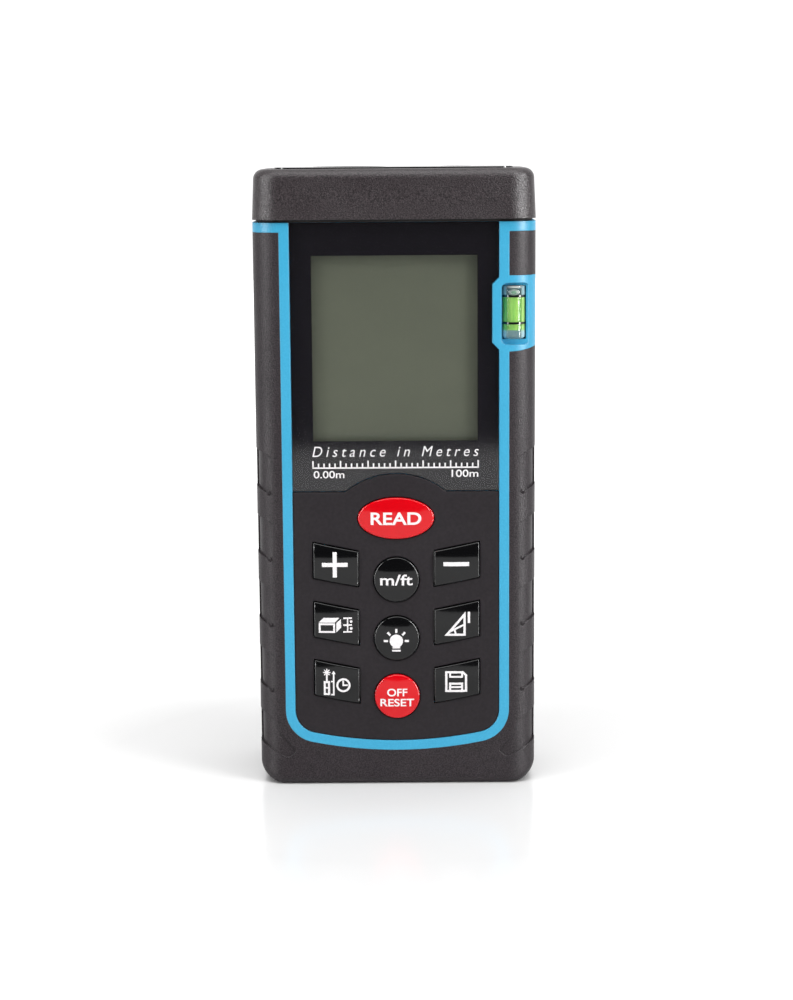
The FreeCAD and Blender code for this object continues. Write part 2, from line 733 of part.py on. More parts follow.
# Each key: name, its outline grown by a margin, the centre of its plunger, and its crown's radius.
KEYS = [
    (
        "key_measure",
        lambda grow: ellipse("oval_height", f"oval_half_width + {grow}", f"oval_half_height + {grow}"),
        ("0", "oval_height"),
        "oval_crown_radius",
    )
]
for row, name in enumerate(("key_unit", "key_light", "key_off")):
    height = f"round_key_first - {row}*row_pitch"
    KEYS.append(
        (
            name,
            lambda grow, height=height: circle("0", height, f"round_key_radius + {grow}"),
            ("0", height),
            "crown_radius",
        )
    )
COLUMNS = {-1: ("key_plus", "key_area", "key_timer"), 1: ("key_minus", "key_angle", "key_save")}
for side, names in COLUMNS.items():
    for row, name in enumerate(names):
        sign = "-" if side < 0 else ""
        KEYS.append(
            (
                name,
                lambda grow, side=side, row=row: polygon(side_key(side, row, grow)),
                (
                    f"{sign}(column_inner + column_outer)/2",
                    f"side_key_high - {row}*row_pitch - (side_key_drop + side_key_tall)/2",
                ),
                "crown_radius",
            )
        )


def cradle_outline(grow):
    """The cradle seen from the front, with cut corners towards the display, grown by a margin."""
    inner, low, high = f"cradle_inner - {grow}", f"cradle_low - {grow}", f"cradle_high + {grow}"
    step = "(recess_half + 0.05 - cradle_inner)"
    start, side = f"recess_half + strip_width - {grow}", "body_width/2 + 1"

    def swept(across):
        return (across, f"{low} + (({across}) - ({start}))^2/(2*cradle_sweep)")

    return polygon(
        [
            (inner, f"{low} + {step} + 0.3"),
            (f"{inner} + {step}", f"{low} + 0.3"),
            (start, low, swept(f"({start} + {side})/2")),
            swept(side),
            (side, high),
            (start, high),
            (f"{inner} + {step}", f"{high} - 0.3"),
            (inner, f"{high} - {step} - 0.3"),
        ]
    )


def dents():
    """The finger dents of the right front corner: four plain ones and the leaf-shaped lowest."""
    side = "body_width/2"
    prisms = []
    for row in range(4):
        high = f"(dent_high - {row}*dent_pitch)"
        sink, rise = f"dent_slope*({side} - dent_inner)", "dent_slope"
        outline = [
            ("dent_inner", f"{high} - dent_tall - {sink}"),
            (f"{side} + 1", f"{high} - dent_tall + {rise}"),
            (f"{side} + 1", f"{high} + {rise}"),
            ("dent_inner", f"{high} - {sink}"),
        ]
        prisms.append(extrude(f"dent{row}", polygon(outline), "front_face - 1", "dent_end", "front"))
    leaf = [
        ("19.7", "7", ("19.7", "6.4")),
        ("20.2", "6", ("20.8", "5.5")),
        ("21.6", "5.5"),
        ("24.6", "7.1"),
        (f"{side} + 1", "8.6"),
        (f"{side} + 1", "15.2"),
        ("23.4", "12.6"),
        ("21.5", "9.1"),
    ]
    prisms.append(extrude("dent_leaf", polygon(leaf), "front_face - 1", "dent_end", "front"))
    return cut("dent_solids", fuse("dent_prisms", *prisms), dent_floor)


def nicks():
    """The nick at the lower inner corner of each plain dent on the right."""
    centre = "(dent_inner + 1.1)"
    return [
        extrude(
            f"nick{row}",
            slot(
                centre,
                f"dent_high - {row}*dent_pitch - dent_tall - dent_slope*(body_width/2 - {centre}) + 0.1",
                "nick_length", "nick_width", "dent_slope",
            ),
            "front_face - 1",
            "nick_floor",
            "front",
        )
        for row in range(4)
    ]


def mirrored(name, item, normal, base=Vector()):
    """The object's mirror image."""
    twin = doc.addObject("Part::Mirroring", name)
    twin.Source = item
    twin.Normal = normal
    twin.Base = base
    return twin


outer = housing_block("outer_form", "0", "back_face")
inner = housing_block("inner_form", "skin", "back_face - skin")
dent_wall = "(body_width/2 - dent_side)"
dent_floor = extrude(
    "dent_floor",
    rounded(f"-{dent_wall}", "front_face + dent_front", dent_wall, "back_face - dent_front", "dent_corner"),
    "-1",
    "body_top",
)
inset = "(skin + wall)"
cavity_side = f"(body_width/2 - {inset})"
cavity = extrude(
    "cavity",
    rounded(f"-{cavity_side}", f"front_face + {inset}", cavity_side, "back_face - rear_wall", "2.4"),
    inset,
    "body_top - 1.5",
)
neck_hollow = extrude(
    "neck_hollow",
    rounded(
        "-neck_half + neck_wall", "-neck_depth + neck_wall", "neck_half - neck_wall",
        "neck_depth - neck_wall", "2",
    ),
    "body_top - 2",
    "neck_high + 1",
)
neck = extrude(
    "neck",
    rounded("-neck_half", "-neck_depth", "neck_half", "neck_depth", "3.2"),
    "body_top - 1",
    "neck_high",
)
catch_front = block(
    "catch_front", "-catch_half", "-neck_depth - catch_reach", "catch_low", "catch_half",
    "-neck_depth + 0.5", "catch_high",
)
catch_back = block(
    "catch_back", "-catch_half", "neck_depth - 0.5", "catch_low", "catch_half",
    "neck_depth + catch_reach", "catch_high",
)
front_space = block("front_space", "-40", "-30", "-1", "40", "split_plane", "neck_high + 5")
rear_space = block("rear_space", "-40", "split_plane + split_gap", "-1", "40", "30", "neck_high + 5")

# The strip stands level with the grip, round the recess for the window and the key panel.
strip_solid = extrude(
    "strip_solid", cup("strip_width", "body_top"), "front_face", "front_face + skin", "front"
)
recess = extrude("recess", cup("0", "body_top + 1"), "front_face - 1", "recess_floor", "front")
band = common(
    "band",
    outer,
    block("band_space", "-40", "-30", "band_low", "40", "split_plane", "body_top + 1"),
)
cradle_prism = extrude("cradle_prism", cradle_outline("0"), "front_face - 1", "cradle_back", "front")
cradle = common("cradle", outer, cradle_prism)
# The vial drops into a pocket of its own width, in the floor of a shallow dish.
dish = extrude(
    "dish", rounded("dish_inner", "dish_low", "dish_outer", "dish_high", "1.2"), "front_face - 1",
    "dish_floor",
    "front",
)
pocket_half = "(vial_radius + pocket_gap)"
pocket = extrude(
    "pocket",
    rounded(
        f"vial_side - {pocket_half}", "vial_low - pocket_gap", f"vial_side + {pocket_half}",
        "vial_high + pocket_gap", "0.2",
    ),
    "dish_floor - 1",
    f"vial_depth + {pocket_half}",
    "front",
)

front_masses = fuse("front_masses", inner, neck, catch_front, strip_solid, band)
front_solid = common("front_solid", front_masses, front_space)
front_hollowed = cut("front_hollowed", front_solid, cavity, neck_hollow, recess)
bosses = [
    rod(f"boss{k}", x, z, "boss_radius", "front_face + skin + wall - 0.3", "split_plane")
    for k, (x, z) in enumerate(SCREWS)
]
board_posts = [
    rod(f"board_post{k}", x, z, "board_post_radius", "front_face + skin + wall - 0.3", "board_front")
    for k, (x, z) in enumerate(BOARD_SCREWS)
]
front_bossed = fuse("front_bossed", front_hollowed, cradle, *bosses, *board_posts)
display_hole = block(
    "display_hole", "-view_half - 1.4", "recess_floor - 1", "view_low - 1.5", "view_half + 1.4", "-10.5",
    "view_high + 1.4",
)
key_holes = [
    extrude(name + "_hole", outline("key_gap"), "recess_floor - 2", "-10.5", "front")
    for name, outline, centre, crown in KEYS
]
pilot_holes = [
    rod(f"pilot{k}", x, z, "pilot_radius", "pilot_floor", "split_plane + 1")
    for k, (x, z) in enumerate(SCREWS)
]
board_pilots = [
    rod(f"board_pilot{k}", x, z, "board_pilot_radius", "board_pilot_floor", "board_front + 1")
    for k, (x, z) in enumerate(BOARD_SCREWS)
]
keep(
    "front_shell",
    cut(
        "front_shell", front_bossed, display_hole, dish, pocket, *key_holes, *pilot_holes, *board_pilots
    ),
)

# The rubber grip wraps what the shell leaves free of the front half.
right_dents = dents()
left_dents = mirrored("left_dents", right_dents, Vector(1, 0, 0))
right_nicks = fuse("right_nicks", *nicks())
left_nicks = mirrored("left_nicks", right_nicks, Vector(1, 0, 0))
front_outer = common("front_outer", outer, front_space)
keep(
    "front_grip",
    cut(
        "front_grip", front_outer, inner, strip_solid, band, cradle_prism, recess,
        right_dents, left_dents, right_nicks, left_nicks,
    ),
)

# Rear shell with its battery tray, screw towers and the solid corner round the lanyard hole.
rear_solid = common("rear_solid", fuse("rear_masses", outer, neck, catch_back), rear_space)
rear_hollowed = cut("rear_hollowed", rear_solid, cavity, neck_hollow)
towers = [
    rod(f"tower{k}", x, z, "tower_radius", "split_plane + split_gap", "back_face - rear_wall + 0.3")
    for k, (x, z) in enumerate(SCREWS)
]
tray = block(
    "tray", "-bay_half - tray_wall", "bay_front - tray_wall", "bay_low - tray_wall", "bay_half + tray_wall",
    "back_face - 1", "bay_high + tray_wall",
)
ledge = block(
    "ledge", "-door_half - 1.6", "door_seat - 1.9", "door_low - 1.8", "door_half + 1.6", "back_face - 1",
    "door_high + 1.5",
)
lanyard_block = block(
    "lanyard_block", "-27", "lanyard_depth - 2.2", "0", "-18.6", "lanyard_depth + 2.2", "9.2"
)
lanyard_corner = common("lanyard_corner", outer, lanyard_block)
rear_filled = fuse("rear_filled", rear_hollowed, tray, ledge, lanyard_corner, *towers)
bay = block("bay", "-bay_half", "bay_front", "bay_low", "bay_half", "back_face + 1", "bay_high")
door_recess = extrude(
    "door_recess",
    rounded("-door_half", "door_low", "door_half", "door_high", "2"),
    "door_seat",
    "back_face + 1",
    "front",
)
hook_pockets = [
    block(
        f"hook_pocket{k}", f"{x} - 2", "door_seat - 2.1", "door_low - 1.4", f"{x} + 2", "door_seat",
        "bay_low + 0.1",
    )
    for k, x in enumerate(("-hook_side", "hook_side"))
]
thumb_scoop = doc.addObject("Part::Sphere", "thumb_scoop")
thumb_scoop.setExpression("Radius", full("scoop_radius"))
shift(thumb_scoop, "0", "back_face + scoop_rise", "door_high + 0.2")
counterbores = [
    rod(f"counterbore{k}", x, z, "counterbore_radius", "screw_seat", "back_face + 1")
    for k, (x, z) in enumerate(SCREWS)
]
shank_holes = [
    rod(f"shank_hole{k}", x, z, "shank_hole_radius", "split_plane - 1", "screw_seat + 1")
    for k, (x, z) in enumerate(SCREWS)
]
label_recess = extrude(
    "label_recess", rounded("-label_half", "label_low", "label_half", "label_high", "label_corner"),
    "back_face - label_gap", "back_face + 1", "front",
)
lanyard_bore = doc.addObject("Part::Cylinder", "lanyard_bore")
lanyard_bore.setExpression("Radius", full("lanyard_radius"))
lanyard_bore.Height = 30
lanyard_bore.Placement = Placement(Vector(), Rotation(Vector(0, 1, 0), 135))
shift(
    lanyard_bore, "-body_width/2 + lanyard_reach/2 - 15*sin(45)", "lanyard_depth",
    "lanyard_reach/2 + 15*sin(45)",
)
seal_outline = [
    rounded("-25.6", "1.4", "25.6", "107", "3.2", "low"),
    rounded("-24.9", "2.1", "24.9", "107.5", "2.5", "low"),
]
seal_outer = extrude("seal_outer", seal_outline[0], "split_plane", "split_plane + 0.8", "front")
seal_inner = extrude("seal_inner", seal_outline[1], "split_plane - 1", "split_plane + 2", "front")
seal = cut("shell_gasket", seal_outer, seal_inner)
middle = Vector(0, number("(front_face + back_face)/2"), 0)
back_dents = [
    mirrored("back_right_dents", right_dents, Vector(0, 1, 0), middle),
    mirrored("back_left_dents", left_dents, Vector(0, 1, 0), middle),
]
keep(
    "rear_shell",
    cut(
        "rear_shell", rear_filled, bay, door_recess, *hook_pockets, thumb_scoop, *counterbores,
        *shank_holes, label_recess, lanyard_bore, seal, *back_dents,
    ),
)
keep("shell_gasket", seal)

label = new_body("rear_label")
pad_deep(
    label, "back_face - label_gap", "back_face - slip",
    rounded(
        "-label_half + label_gap", "label_low + label_gap", "label_half - label_gap",
        "label_high - label_gap", "label_corner - label_gap",
    ),
)
keep("rear_label", label)

screws = new_body("housing_screws")
pad_deep(screws, "screw_tip", "screw_seat + slip", *[circle(x, z, "screw_radius") for x, z in SCREWS])
pad_deep(screws, "screw_seat", "screw_seat + head_tall", *[circle(x, z, "head_radius") for x, z in SCREWS])
for wide, high in (("cross_half", "cross_thick"), ("cross_thick", "cross_half")):
    pocket_deep(
        screws, "screw_seat + cross_floor", "screw_seat + head_tall",
        *[rectangle(f"{x} - {wide}", f"{z} - {high}", f"{x} + {wide}", f"{z} + {high}") for x, z in SCREWS],
    )
keep("housing_screws", screws)

# ---------------------------------------------------------------- window, key panel and display

window_outline = cup("-fit_gap", "body_top - slip")
window_plate = extrude("window_plate", window_outline, "panel_face", "recess_floor - 0.15 - slip", "front")
below_window = block("below_window", "-30", "-20", "0", "30", "-10", "window_low")
arch = rod("arch", "0", "arch_centre", "arch_radius", "-20", "-10")
cradle_space = extrude("cradle_space", cradle_outline("fit_gap"), "-20", "-8", "front")
keep("display_window", cut("display_window", window_plate, below_window, arch, cradle_space))

mask_plate = extrude("mask_plate", window_outline, "recess_floor - 0.15", "recess_floor", "front")
view = block("view", "-view_half", "-20", "view_low", "view_half", "-10", "view_high")
keep("window_mask", cut("window_mask", mask_plate, below_window, arch, cradle_space, view))

panel_plate = extrude(
    "panel_plate", cup("-fit_gap", "window_low - fit_gap"), "panel_face", "recess_floor", "front"
)
panel_arch = rod("panel_arch", "0", "arch_centre", "arch_radius - fit_gap", "panel_face", "recess_floor")
panel_holes = [
    extrude(name + "_opening", outline("key_gap"), "panel_face - 1", "recess_floor + 1", "front")
    for name, outline, centre, crown in KEYS
]
keep("key_panel", cut("key_panel", fuse("panel_form", panel_plate, panel_arch), *panel_holes))

glass = new_body("lcd_panel")
pad_deep(
    glass, "glass_face", "glass_back", rectangle("-glass_half", "glass_low", "glass_half", "glass_high")
)
keep("lcd_panel", glass)

light = new_body("lcd_light")
pad_deep(
    light, "glass_back", "board_front - slip", rectangle("-17", "glass_low + 2.6", "17", "glass_high - 0.5")
)
keep("lcd_light", light)

frame = new_body("lcd_frame")
pad_deep(
    frame, "glass_face", "board_front",
    rectangle("-glass_half - 0.7", "glass_low - 0.35", "glass_half + 0.7", "glass_high + 0.4"),
    rectangle("-glass_half - slip", "glass_low - slip", "glass_half + slip", "glass_high + slip"),
)
pocket_deep(
    frame, "glass_back - 1", "board_front", rectangle("-9.3", "glass_low - 1", "9.3", "glass_low + 0.5")
)
keep("lcd_frame", frame)

flex = new_body("lcd_flex")
pad_side(
    flex, "-9", "9",
    polygon(
        [
            ("glass_back", "glass_low + 1.8"), ("glass_back", "glass_low"),
            ("board_front - 0.15", "glass_low"),
            ("board_front - 0.15", "glass_low - 1.6"), ("board_front", "glass_low - 1.6"),
            ("board_front", "glass_low + 0.15"), ("glass_back + 0.15", "glass_low + 0.15"),
            ("glass_back + 0.15", "glass_low + 1.8"),
        ]
    ),
)
keep("lcd_flex", flex)

# ---------------------------------------------------------------- keys


def make_key(name, outline, centre, crown):
    """A key: a domed cap, the flange that keeps it in, and the plunger that reaches its switch."""
    cap = extrude(name + "_cap", outline("0"), "key_face - 1", "flange_front", "front")
    dome = doc.addObject("Part::Sphere", name + "_dome")
    dome.setExpression("Radius", full(crown))
    shift(dome, centre[0], f"key_face + {crown}", centre[1])
    head = common(name + "_head", cap, dome)

    def at_rim(edge):
        return edge.BoundBox.YMax < number("panel_face") - 0.1

    rounded_head = soften(name + "_soft", head, "key_edge", at_rim)
    flange = extrude(name + "_flange", outline("flange_extra"), "flange_front", "flange_back", "front")
    plunger = rod(name + "_plunger", centre[0], centre[1], "plunger_radius", "flange_back", "plunger_end")
    keep(name, fuse(name, rounded_head, flange, plunger))


for key in KEYS:
    make_key(*key)

mat = new_body("keypad_mat")
pad_deep(
    mat, "mat_front", "board_front",
    rounded("-mat_half", "mat_low", "mat_half", "mat_high", "2"),
    *[circle(*centre, "mat_opening") for name, outline, centre, crown in KEYS],
)
keep("keypad_mat", mat)

domes = new_body("switch_domes")
pad_deep(
    domes, "board_front - dome_step", "board_front",
    *[circle(*centre, "dome_radius") for name, outline, centre, crown in KEYS],
)
pad_deep(
    domes, "board_front - 2*dome_step", "board_front - dome_step",
    *[circle(*centre, "dome_top") for name, outline, centre, crown in KEYS],
)
keep("switch_domes", domes)

# ---------------------------------------------------------------- main board

board = new_body("main_board")
pad_deep(
    board, "board_front", "board_back", rectangle("-board_half", "board_low", "board_half", "board_high")
)
pocket_deep(
    board, "board_front - 1", "board_back + 1",
    *[circle(x, z, "board_screw_radius + 0.1") for x, z in BOARD_SCREWS],
    *[circle(x, z, "bench_screw_radius") for x, z in BENCH_SCREWS],
)
keep("main_board", board)

board_fixings = new_body("board_screws")
pad_deep(
    board_fixings, "board_screw_tip", "board_back",
    *[circle(x, z, "board_screw_radius") for x, z in BOARD_SCREWS],
)
pad_deep(
    board_fixings, "board_back", "board_back + board_head_tall",
    *[circle(x, z, "board_head_radius") for x, z in BOARD_SCREWS],
)
keep("board_screws", board_fixings)

chips = new_body("board_chips")
CHIPS = [("-8", "44", "5"), ("4", "46", "2.5"), ("-9", "28", "3.5"), ("6", "24", "3"), ("0", "15", "2")]
pad_deep(
    chips, "board_back", "board_back + chip_tall",
    *[rectangle(f"{x} - {r}", f"{z} - {r}", f"{x} + {r}", f"{z} + {r}") for x, z, r in CHIPS],
)
keep("board_chips", chips)

buzzer = new_body("buzzer")
pad_deep(
    buzzer, "board_back", "board_back + buzzer_tall",
    circle("buzzer_side", "buzzer_height", "buzzer_radius"),
)
pocket_deep(
    buzzer, "board_back + buzzer_tall - 0.8", "board_back + buzzer_tall",
    circle("buzzer_side", "buzzer_height", "buzzer_mouth"),
)
keep("buzzer", buzzer)

# ---------------------------------------------------------------- optics

tube_shell = turned(
    "receiver_tube",
    [
        ("3.6", "68"), ("5.0", "68"), ("5.0", "74"), ("cone_radius", "lens_seat - 8"),
        ("cone_radius", "113.4"),
        ("lens_radius", "113.4"), ("lens_radius", "lens_seat"), ("lens_radius - 0.8", "lens_seat"),
        ("lens_radius - 0.8", "lens_seat - 6"), ("3.6", "75"),
    ],
    "receiver_side",
    "optic_depth",
)
sleeve = cut(
    "laser_sleeve",
    post(
        "sleeve_outside", "emitter_side", "optic_depth", "barrel_radius + 1.2", "barrel_low + 2",
        "barrel_high - 3",
    ),
    post(
        "sleeve_inside", "emitter_side", "optic_depth", "barrel_radius + slip", "barrel_low", "barrel_high"
    ),
)
web = cut(
    "bench_web",
    block("web_plate", "-4", "-0.2", "86", "8.5", "1.8", "100"),
    post("web_clear_tube", "receiver_side", "optic_depth", "lens_radius", "60", "120"),
    post("web_clear_barrel", "emitter_side", "optic_depth", "barrel_radius + 0.6", "60", "120"),
)
lug_plate = block("lug_plate", "-17.9", "board_back", "70", "17.9", "board_back + bench_plate", "101.6")
lug_window = block("lug_window", "-13.5", "board_back - 1", "76", "13", "board_back + 3", "97")
lug_feet = block("lug_feet", "-13.5", "board_back - 1", "60", "13", "board_back + 3", "77")
leg_left = block("leg_left", "-16.1", "board_back + 1", "82", "-13.6", "optic_depth", "97")
leg_left_cut = cut(
    "leg_left_clear", leg_left,
    post("leg_clear_tube", "receiver_side", "optic_depth", "lens_radius", "60", "120")
)
leg_right = block("leg_right", "13.2", "board_back + 1", "86", "16.2", "optic_depth", "99")
leg_right_cut = cut(
    "leg_right_clear",
    leg_right,
    post("leg_clear_barrel", "emitter_side", "optic_depth", "barrel_radius + 0.6", "60", "120"),
)
bench_holes = [
    rod(f"bench_hole{k}", x, z, "bench_screw_radius + 0.1", "board_back - 1", "board_back + 3")
    for k, (x, z) in enumerate(BENCH_SCREWS)
]
bench_form = fuse("bench_form", lug_plate, tube_shell, sleeve, web, leg_left_cut, leg_right_cut)
tube_bore = post("tube_bore", "receiver_side", "optic_depth", "lens_radius", "lens_seat", "120")
keep("optic_bench", cut("optic_bench", bench_form, lug_window, lug_feet, tube_bore, *bench_holes))

bench_fixings = new_body("bench_screws")
for start, end, radius in (
    ("board_front", "board_back + bench_plate", "bench_screw_radius"),
    ("board_back + bench_plate", "board_back + bench_plate + bench_head_tall", "bench_head_radius"),
):
    pad_deep(bench_fixings, start, end, *[circle(x, z, radius) for x, z in BENCH_SCREWS])
keep("bench_screws", bench_fixings)


def plano_convex(name, side, radius, seat, rim, bulge):
    """A lens with a flat underside, a straight rim and a spherical top."""
    blank = post(name + "_blank", side, "optic_depth", radius, seat, f"{seat} + {rim} + {bulge}")
    ball = doc.addObject("Part::Sphere", name + "_ball")
    curve = f"(({radius})^2 + {bulge}^2)/(2*{bulge})"
    ball.setExpression("Radius", full(curve))
    shift(ball, side, "optic_depth", f"{seat} + {rim} + {bulge} - {curve}")
    keep(name, common(name, blank, ball))


plano_convex("receiver_lens", "receiver_side", "lens_radius - slip", "lens_seat", "1.6", "1.5")
keep(
    "filter_glass",
    turned(
        "filter_glass",
        [("0", "70.2"), ("3.55", "70.2"), ("3.55", "71.2"), ("0", "71.2")],
        "receiver_side",
        "optic_depth",
    ),
)
receiver_board = new_body("receiver_board")
pad_up(
    receiver_board, "sensor_board_low", "sensor_board_high", rectangle("-15.6", "-3.6", "-1.4", "9")
)
keep("receiver_board", receiver_board)
keep(
    "apd_sensor",
    turned(
        "apd_sensor",
        [
            ("0", "sensor_board_high"), ("2.7", "sensor_board_high"), ("2.7", "sensor_board_high + 0.4"),
            ("2.3", "sensor_board_high + 0.4"), ("2.3", "69.4"), ("0", "69.4"),
        ],
        "receiver_side",
        "optic_depth",
    ),
)
shield = new_body("shield_can")
pad_up(shield, "shield_low", "sensor_board_low", rectangle("-14.6", "-2.6", "-2.4", "8"))
pocket_down(
    shield, "shield_low + shield_wall", "sensor_board_low",
    rectangle("-14.6 + shield_wall", "-2.6 + shield_wall", "-2.4 - shield_wall", "8 - shield_wall"),
)
keep("shield_can", shield)

keep(
    "laser_barrel",
    turned(
        "laser_barrel",
        [
            ("2.9", "barrel_low"), ("barrel_radius", "barrel_low"), ("barrel_radius", "barrel_high - 1.4"),
            ("barrel_radius - 0.6", "barrel_high"), ("3.3", "barrel_high"), ("3.3", "barrel_high - 2.6"),
            ("2.4", "barrel_high - 2.6"), ("2.4", "barrel_low + 4"), ("2.9", "barrel_low + 4"),
        ],
        "emitter_side",
        "optic_depth",
    ),
)
keep(
    "laser_diode",
    turned(
        "laser_diode",
        [
            ("0", "barrel_low"), ("2.85", "barrel_low"), ("2.85", "barrel_low + 1.2"),
            ("2", "barrel_low + 1.2"),
            ("2", "barrel_low + 3.8"), ("0", "barrel_low + 3.8"),
        ],
        "emitter_side",
        "optic_depth",
    ),
)
plano_convex("collimator_lens", "emitter_side", "3.3 - slip", "barrel_high - 2.6", "0.9", "0.9")

# ---------------------------------------------------------------- end cap

cap_plan = extrude(
    "cap_plan", rounded("-body_width/2", "cap_front", "body_width/2", "back_face", "corner_radius"),
    "cap_low", "cap_high",
)
cap_plan.setExpression("TaperAngle", full("-cap_draft"))


def at_cap_top(edge):
    """Edges of the cap's top face."""
    return edge.BoundBox.ZMin > number("cap_high") - 1e-3


cap_form = soften("cap_form", cap_plan, "cap_edge", at_cap_top)
cap_hollow = extrude(
    "cap_hollow",
    rounded("-cap_hollow_half", "-cap_hollow_depth", "cap_hollow_half", "cap_hollow_depth", "3.4"),
    "cap_low - 1",
    "cap_roof",
)
bezel_seat = extrude(
    "bezel_seat",
    rounded("-bezel_half_width", "-bezel_half_depth", "bezel_half_width", "bezel_half_depth", "3"),
    "bezel_low",
    "bezel_high + 1",
)
catch_grooves = block(
    "catch_grooves", "-catch_half - 0.4", "-cap_hollow_depth - catch_reach", "catch_low - 0.2",
    "catch_half + 0.4", "cap_hollow_depth + catch_reach", "catch_high + 0.3",
)
PANES = [("receiver", "receiver_side", "receiver_glass"), ("emitter", "emitter_side", "emitter_glass")]
light_paths = [
    post(name + "_path", side, "optic_depth", f"{radius} - 0.5", "cap_roof - 1", "120")
    for name, side, radius in PANES
]
keep("end_cap", cut("end_cap", cap_form, cap_hollow, bezel_seat, catch_grooves, *light_paths))

bezel_half, bezel_deep = "(bezel_half_width - slip)", "(bezel_half_depth - slip)"
bezel_plate = extrude(
    "bezel_plate", rounded(f"-{bezel_half}", f"-{bezel_deep}", bezel_half, bezel_deep, "3"), "bezel_low",
    "bezel_high",
)
glass_seats = [
    post(name + "_seat", side, "optic_depth", f"{radius} + slip", "bezel_high - 0.9", "120")
    for name, side, radius in PANES
]
bezel_bores = [
    post(name + "_bore", side, "optic_depth", f"{radius} - 0.5", "bezel_low - 1", "120")
    for name, side, radius in PANES
]
keep("optics_bezel", cut("optics_bezel", bezel_plate, *glass_seats, *bezel_bores))
for name, side, radius in PANES:
    pane = new_body(name + "_window")
    pad_up(pane, "bezel_high - 0.9", "bezel_high - 0.15", circle(side, "optic_depth", radius))
    keep(name + "_window", pane)

seal_ring = new_body("cap_gasket")
seal_side = "(body_width/2 - 0.7)"
pad_up(
    seal_ring, "body_top", "cap_low",
    rounded(f"-{seal_side}", "front_face + 0.7", seal_side, "back_face - 0.7", "corner_radius - 0.7"),
    rounded(
        "-neck_half - slip", "-neck_depth - slip", "neck_half + slip", "neck_depth + slip", "3.2 + slip"
    ),
)
keep("cap_gasket", seal_ring)

# ---------------------------------------------------------------- power

CELL_LOW = "(bay_low + cell_gap)"
CELLS = [("battery_left", "-cell_side", False), ("battery_right", "cell_side", True)]
for name, side, flipped in CELLS:
    start = "(bay_high - cell_gap)" if flipped else CELL_LOW
    sign = "-" if flipped else "+"
    nub_at = f"{start} {sign} (cell_length - nub_height)"
    tip_at = f"{start} {sign} cell_length"
    keep(
        name,
        turned(
            name,
            [
                ("0", start), ("cell_radius", start), ("cell_radius", nub_at), ("nub_radius", nub_at),
                ("nub_radius", tip_at), ("0", tip_at),
            ],
            side,
            "cell_depth",
        ),
    )

coils = []
for name, side, low in (
    ("left_coil", "-cell_side", "bay_low + coil_base"),
    ("right_coil", "cell_side", "bay_high - coil_base - coil_tall"),
):
    path = doc.addObject("Part::Helix", name + "_path")
    path.setExpression("Pitch", full("coil_pitch"))
    path.setExpression("Height", full("coil_tall"))
    path.setExpression("Radius", full("coil_radius"))
    wire = doc.addObject("Part::Circle", name + "_wire")
    wire.setExpression("Radius", full("wire_radius"))
    wire.Placement = Placement(Vector(), Rotation(Vector(1, 0, 0), 90))
    wire.setExpression("Placement.Base.x", full("coil_radius"))
    coil = doc.addObject("Part::Sweep", name)
    coil.Sections = [wire]
    coil.Spine = (path, ["Edge1"])
    coil.Solid = True
    coil.Frenet = True
    shift(coil, side, "cell_depth", low)
    coils.append(coil)
coil_pair = doc.addObject("Part::Compound", "battery_springs")
coil_pair.Links = coils
keep("battery_springs", coil_pair)

plates = new_body("battery_plates")
pad_up(
    plates, "bay_low + 0.1", "bay_low + 0.5",
    rectangle("-plate_half", "plate_front", "plate_half", "plate_back"),
)
pad_up(
    plates, "bay_high - 0.5", "bay_high - 0.1",
    rectangle("-plate_half", "plate_front", "-plate_gap", "plate_back"),
    rectangle("plate_gap", "plate_front", "plate_half", "plate_back"),
)
keep("battery_plates", plates)

door_plate = extrude(
    "door_plate",
    rounded(
        "-door_half + door_gap", "door_low + door_gap", "door_half - door_gap", "door_high - door_gap",
        "1.8"
    ),
    "door_seat + slip",
    "back_face",
    "front",
)
hooks = [
    block(
        f"hook{k}", f"{x} - hook_half", "door_seat - hook_under", "door_low - 1", f"{x} + hook_half",
        "door_seat - 0.25", "door_low + 1.8",
    )
    for k, x in enumerate(("-hook_side", "hook_side"))
]
hook_roots = [
    block(
        f"hook_root{k}", f"{x} - hook_half", "door_seat - hook_under", "door_low + 0.7",
        f"{x} + hook_half", "door_seat + 0.5", "door_low + 1.8",
    )
    for k, x in enumerate(("-hook_side", "hook_side"))
]
door_form = fuse("door_form", door_plate, *hooks, *hook_roots)
rib_gaps = [
    block(
        f"rib_gap{k}", "-rib_half", "back_face - rib_depth",
        f"door_high - rib_high - rib_tall + {k}*rib_pitch", "rib_half", "back_face + 1",
        f"door_high - rib_high + {k}*rib_pitch",
    )
    for k in range(4)
]
keep("battery_door", cut("battery_door", door_form, thumb_scoop, *rib_gaps))

# ---------------------------------------------------------------- spirit level

keep(
    "vial_tube",
    turned(
        "vial_tube",
        [
            ("0", "vial_low"), ("vial_radius - 0.4", "vial_low"), ("vial_radius", "vial_low + 0.4"),
            ("vial_radius", "vial_high"), ("vial_bore", "vial_high"), ("vial_bore", "vial_low + vial_base"),
            ("0", "vial_low + vial_base"),
        ],
        "vial_side",
        "vial_depth",
    ),
)
PLUG_LOW = "(vial_high - plug_tall)"
keep(
    "vial_plug",
    turned(
        "vial_plug",
        [("0", PLUG_LOW), ("vial_bore", PLUG_LOW), ("vial_bore", "vial_high"), ("0", "vial_high")],
        "vial_side",
        "vial_depth",
    ),
)
liquid_fill = post(
    "liquid_fill", "vial_side", "vial_depth", "vial_bore - slip", "vial_low + vial_base", PLUG_LOW
)


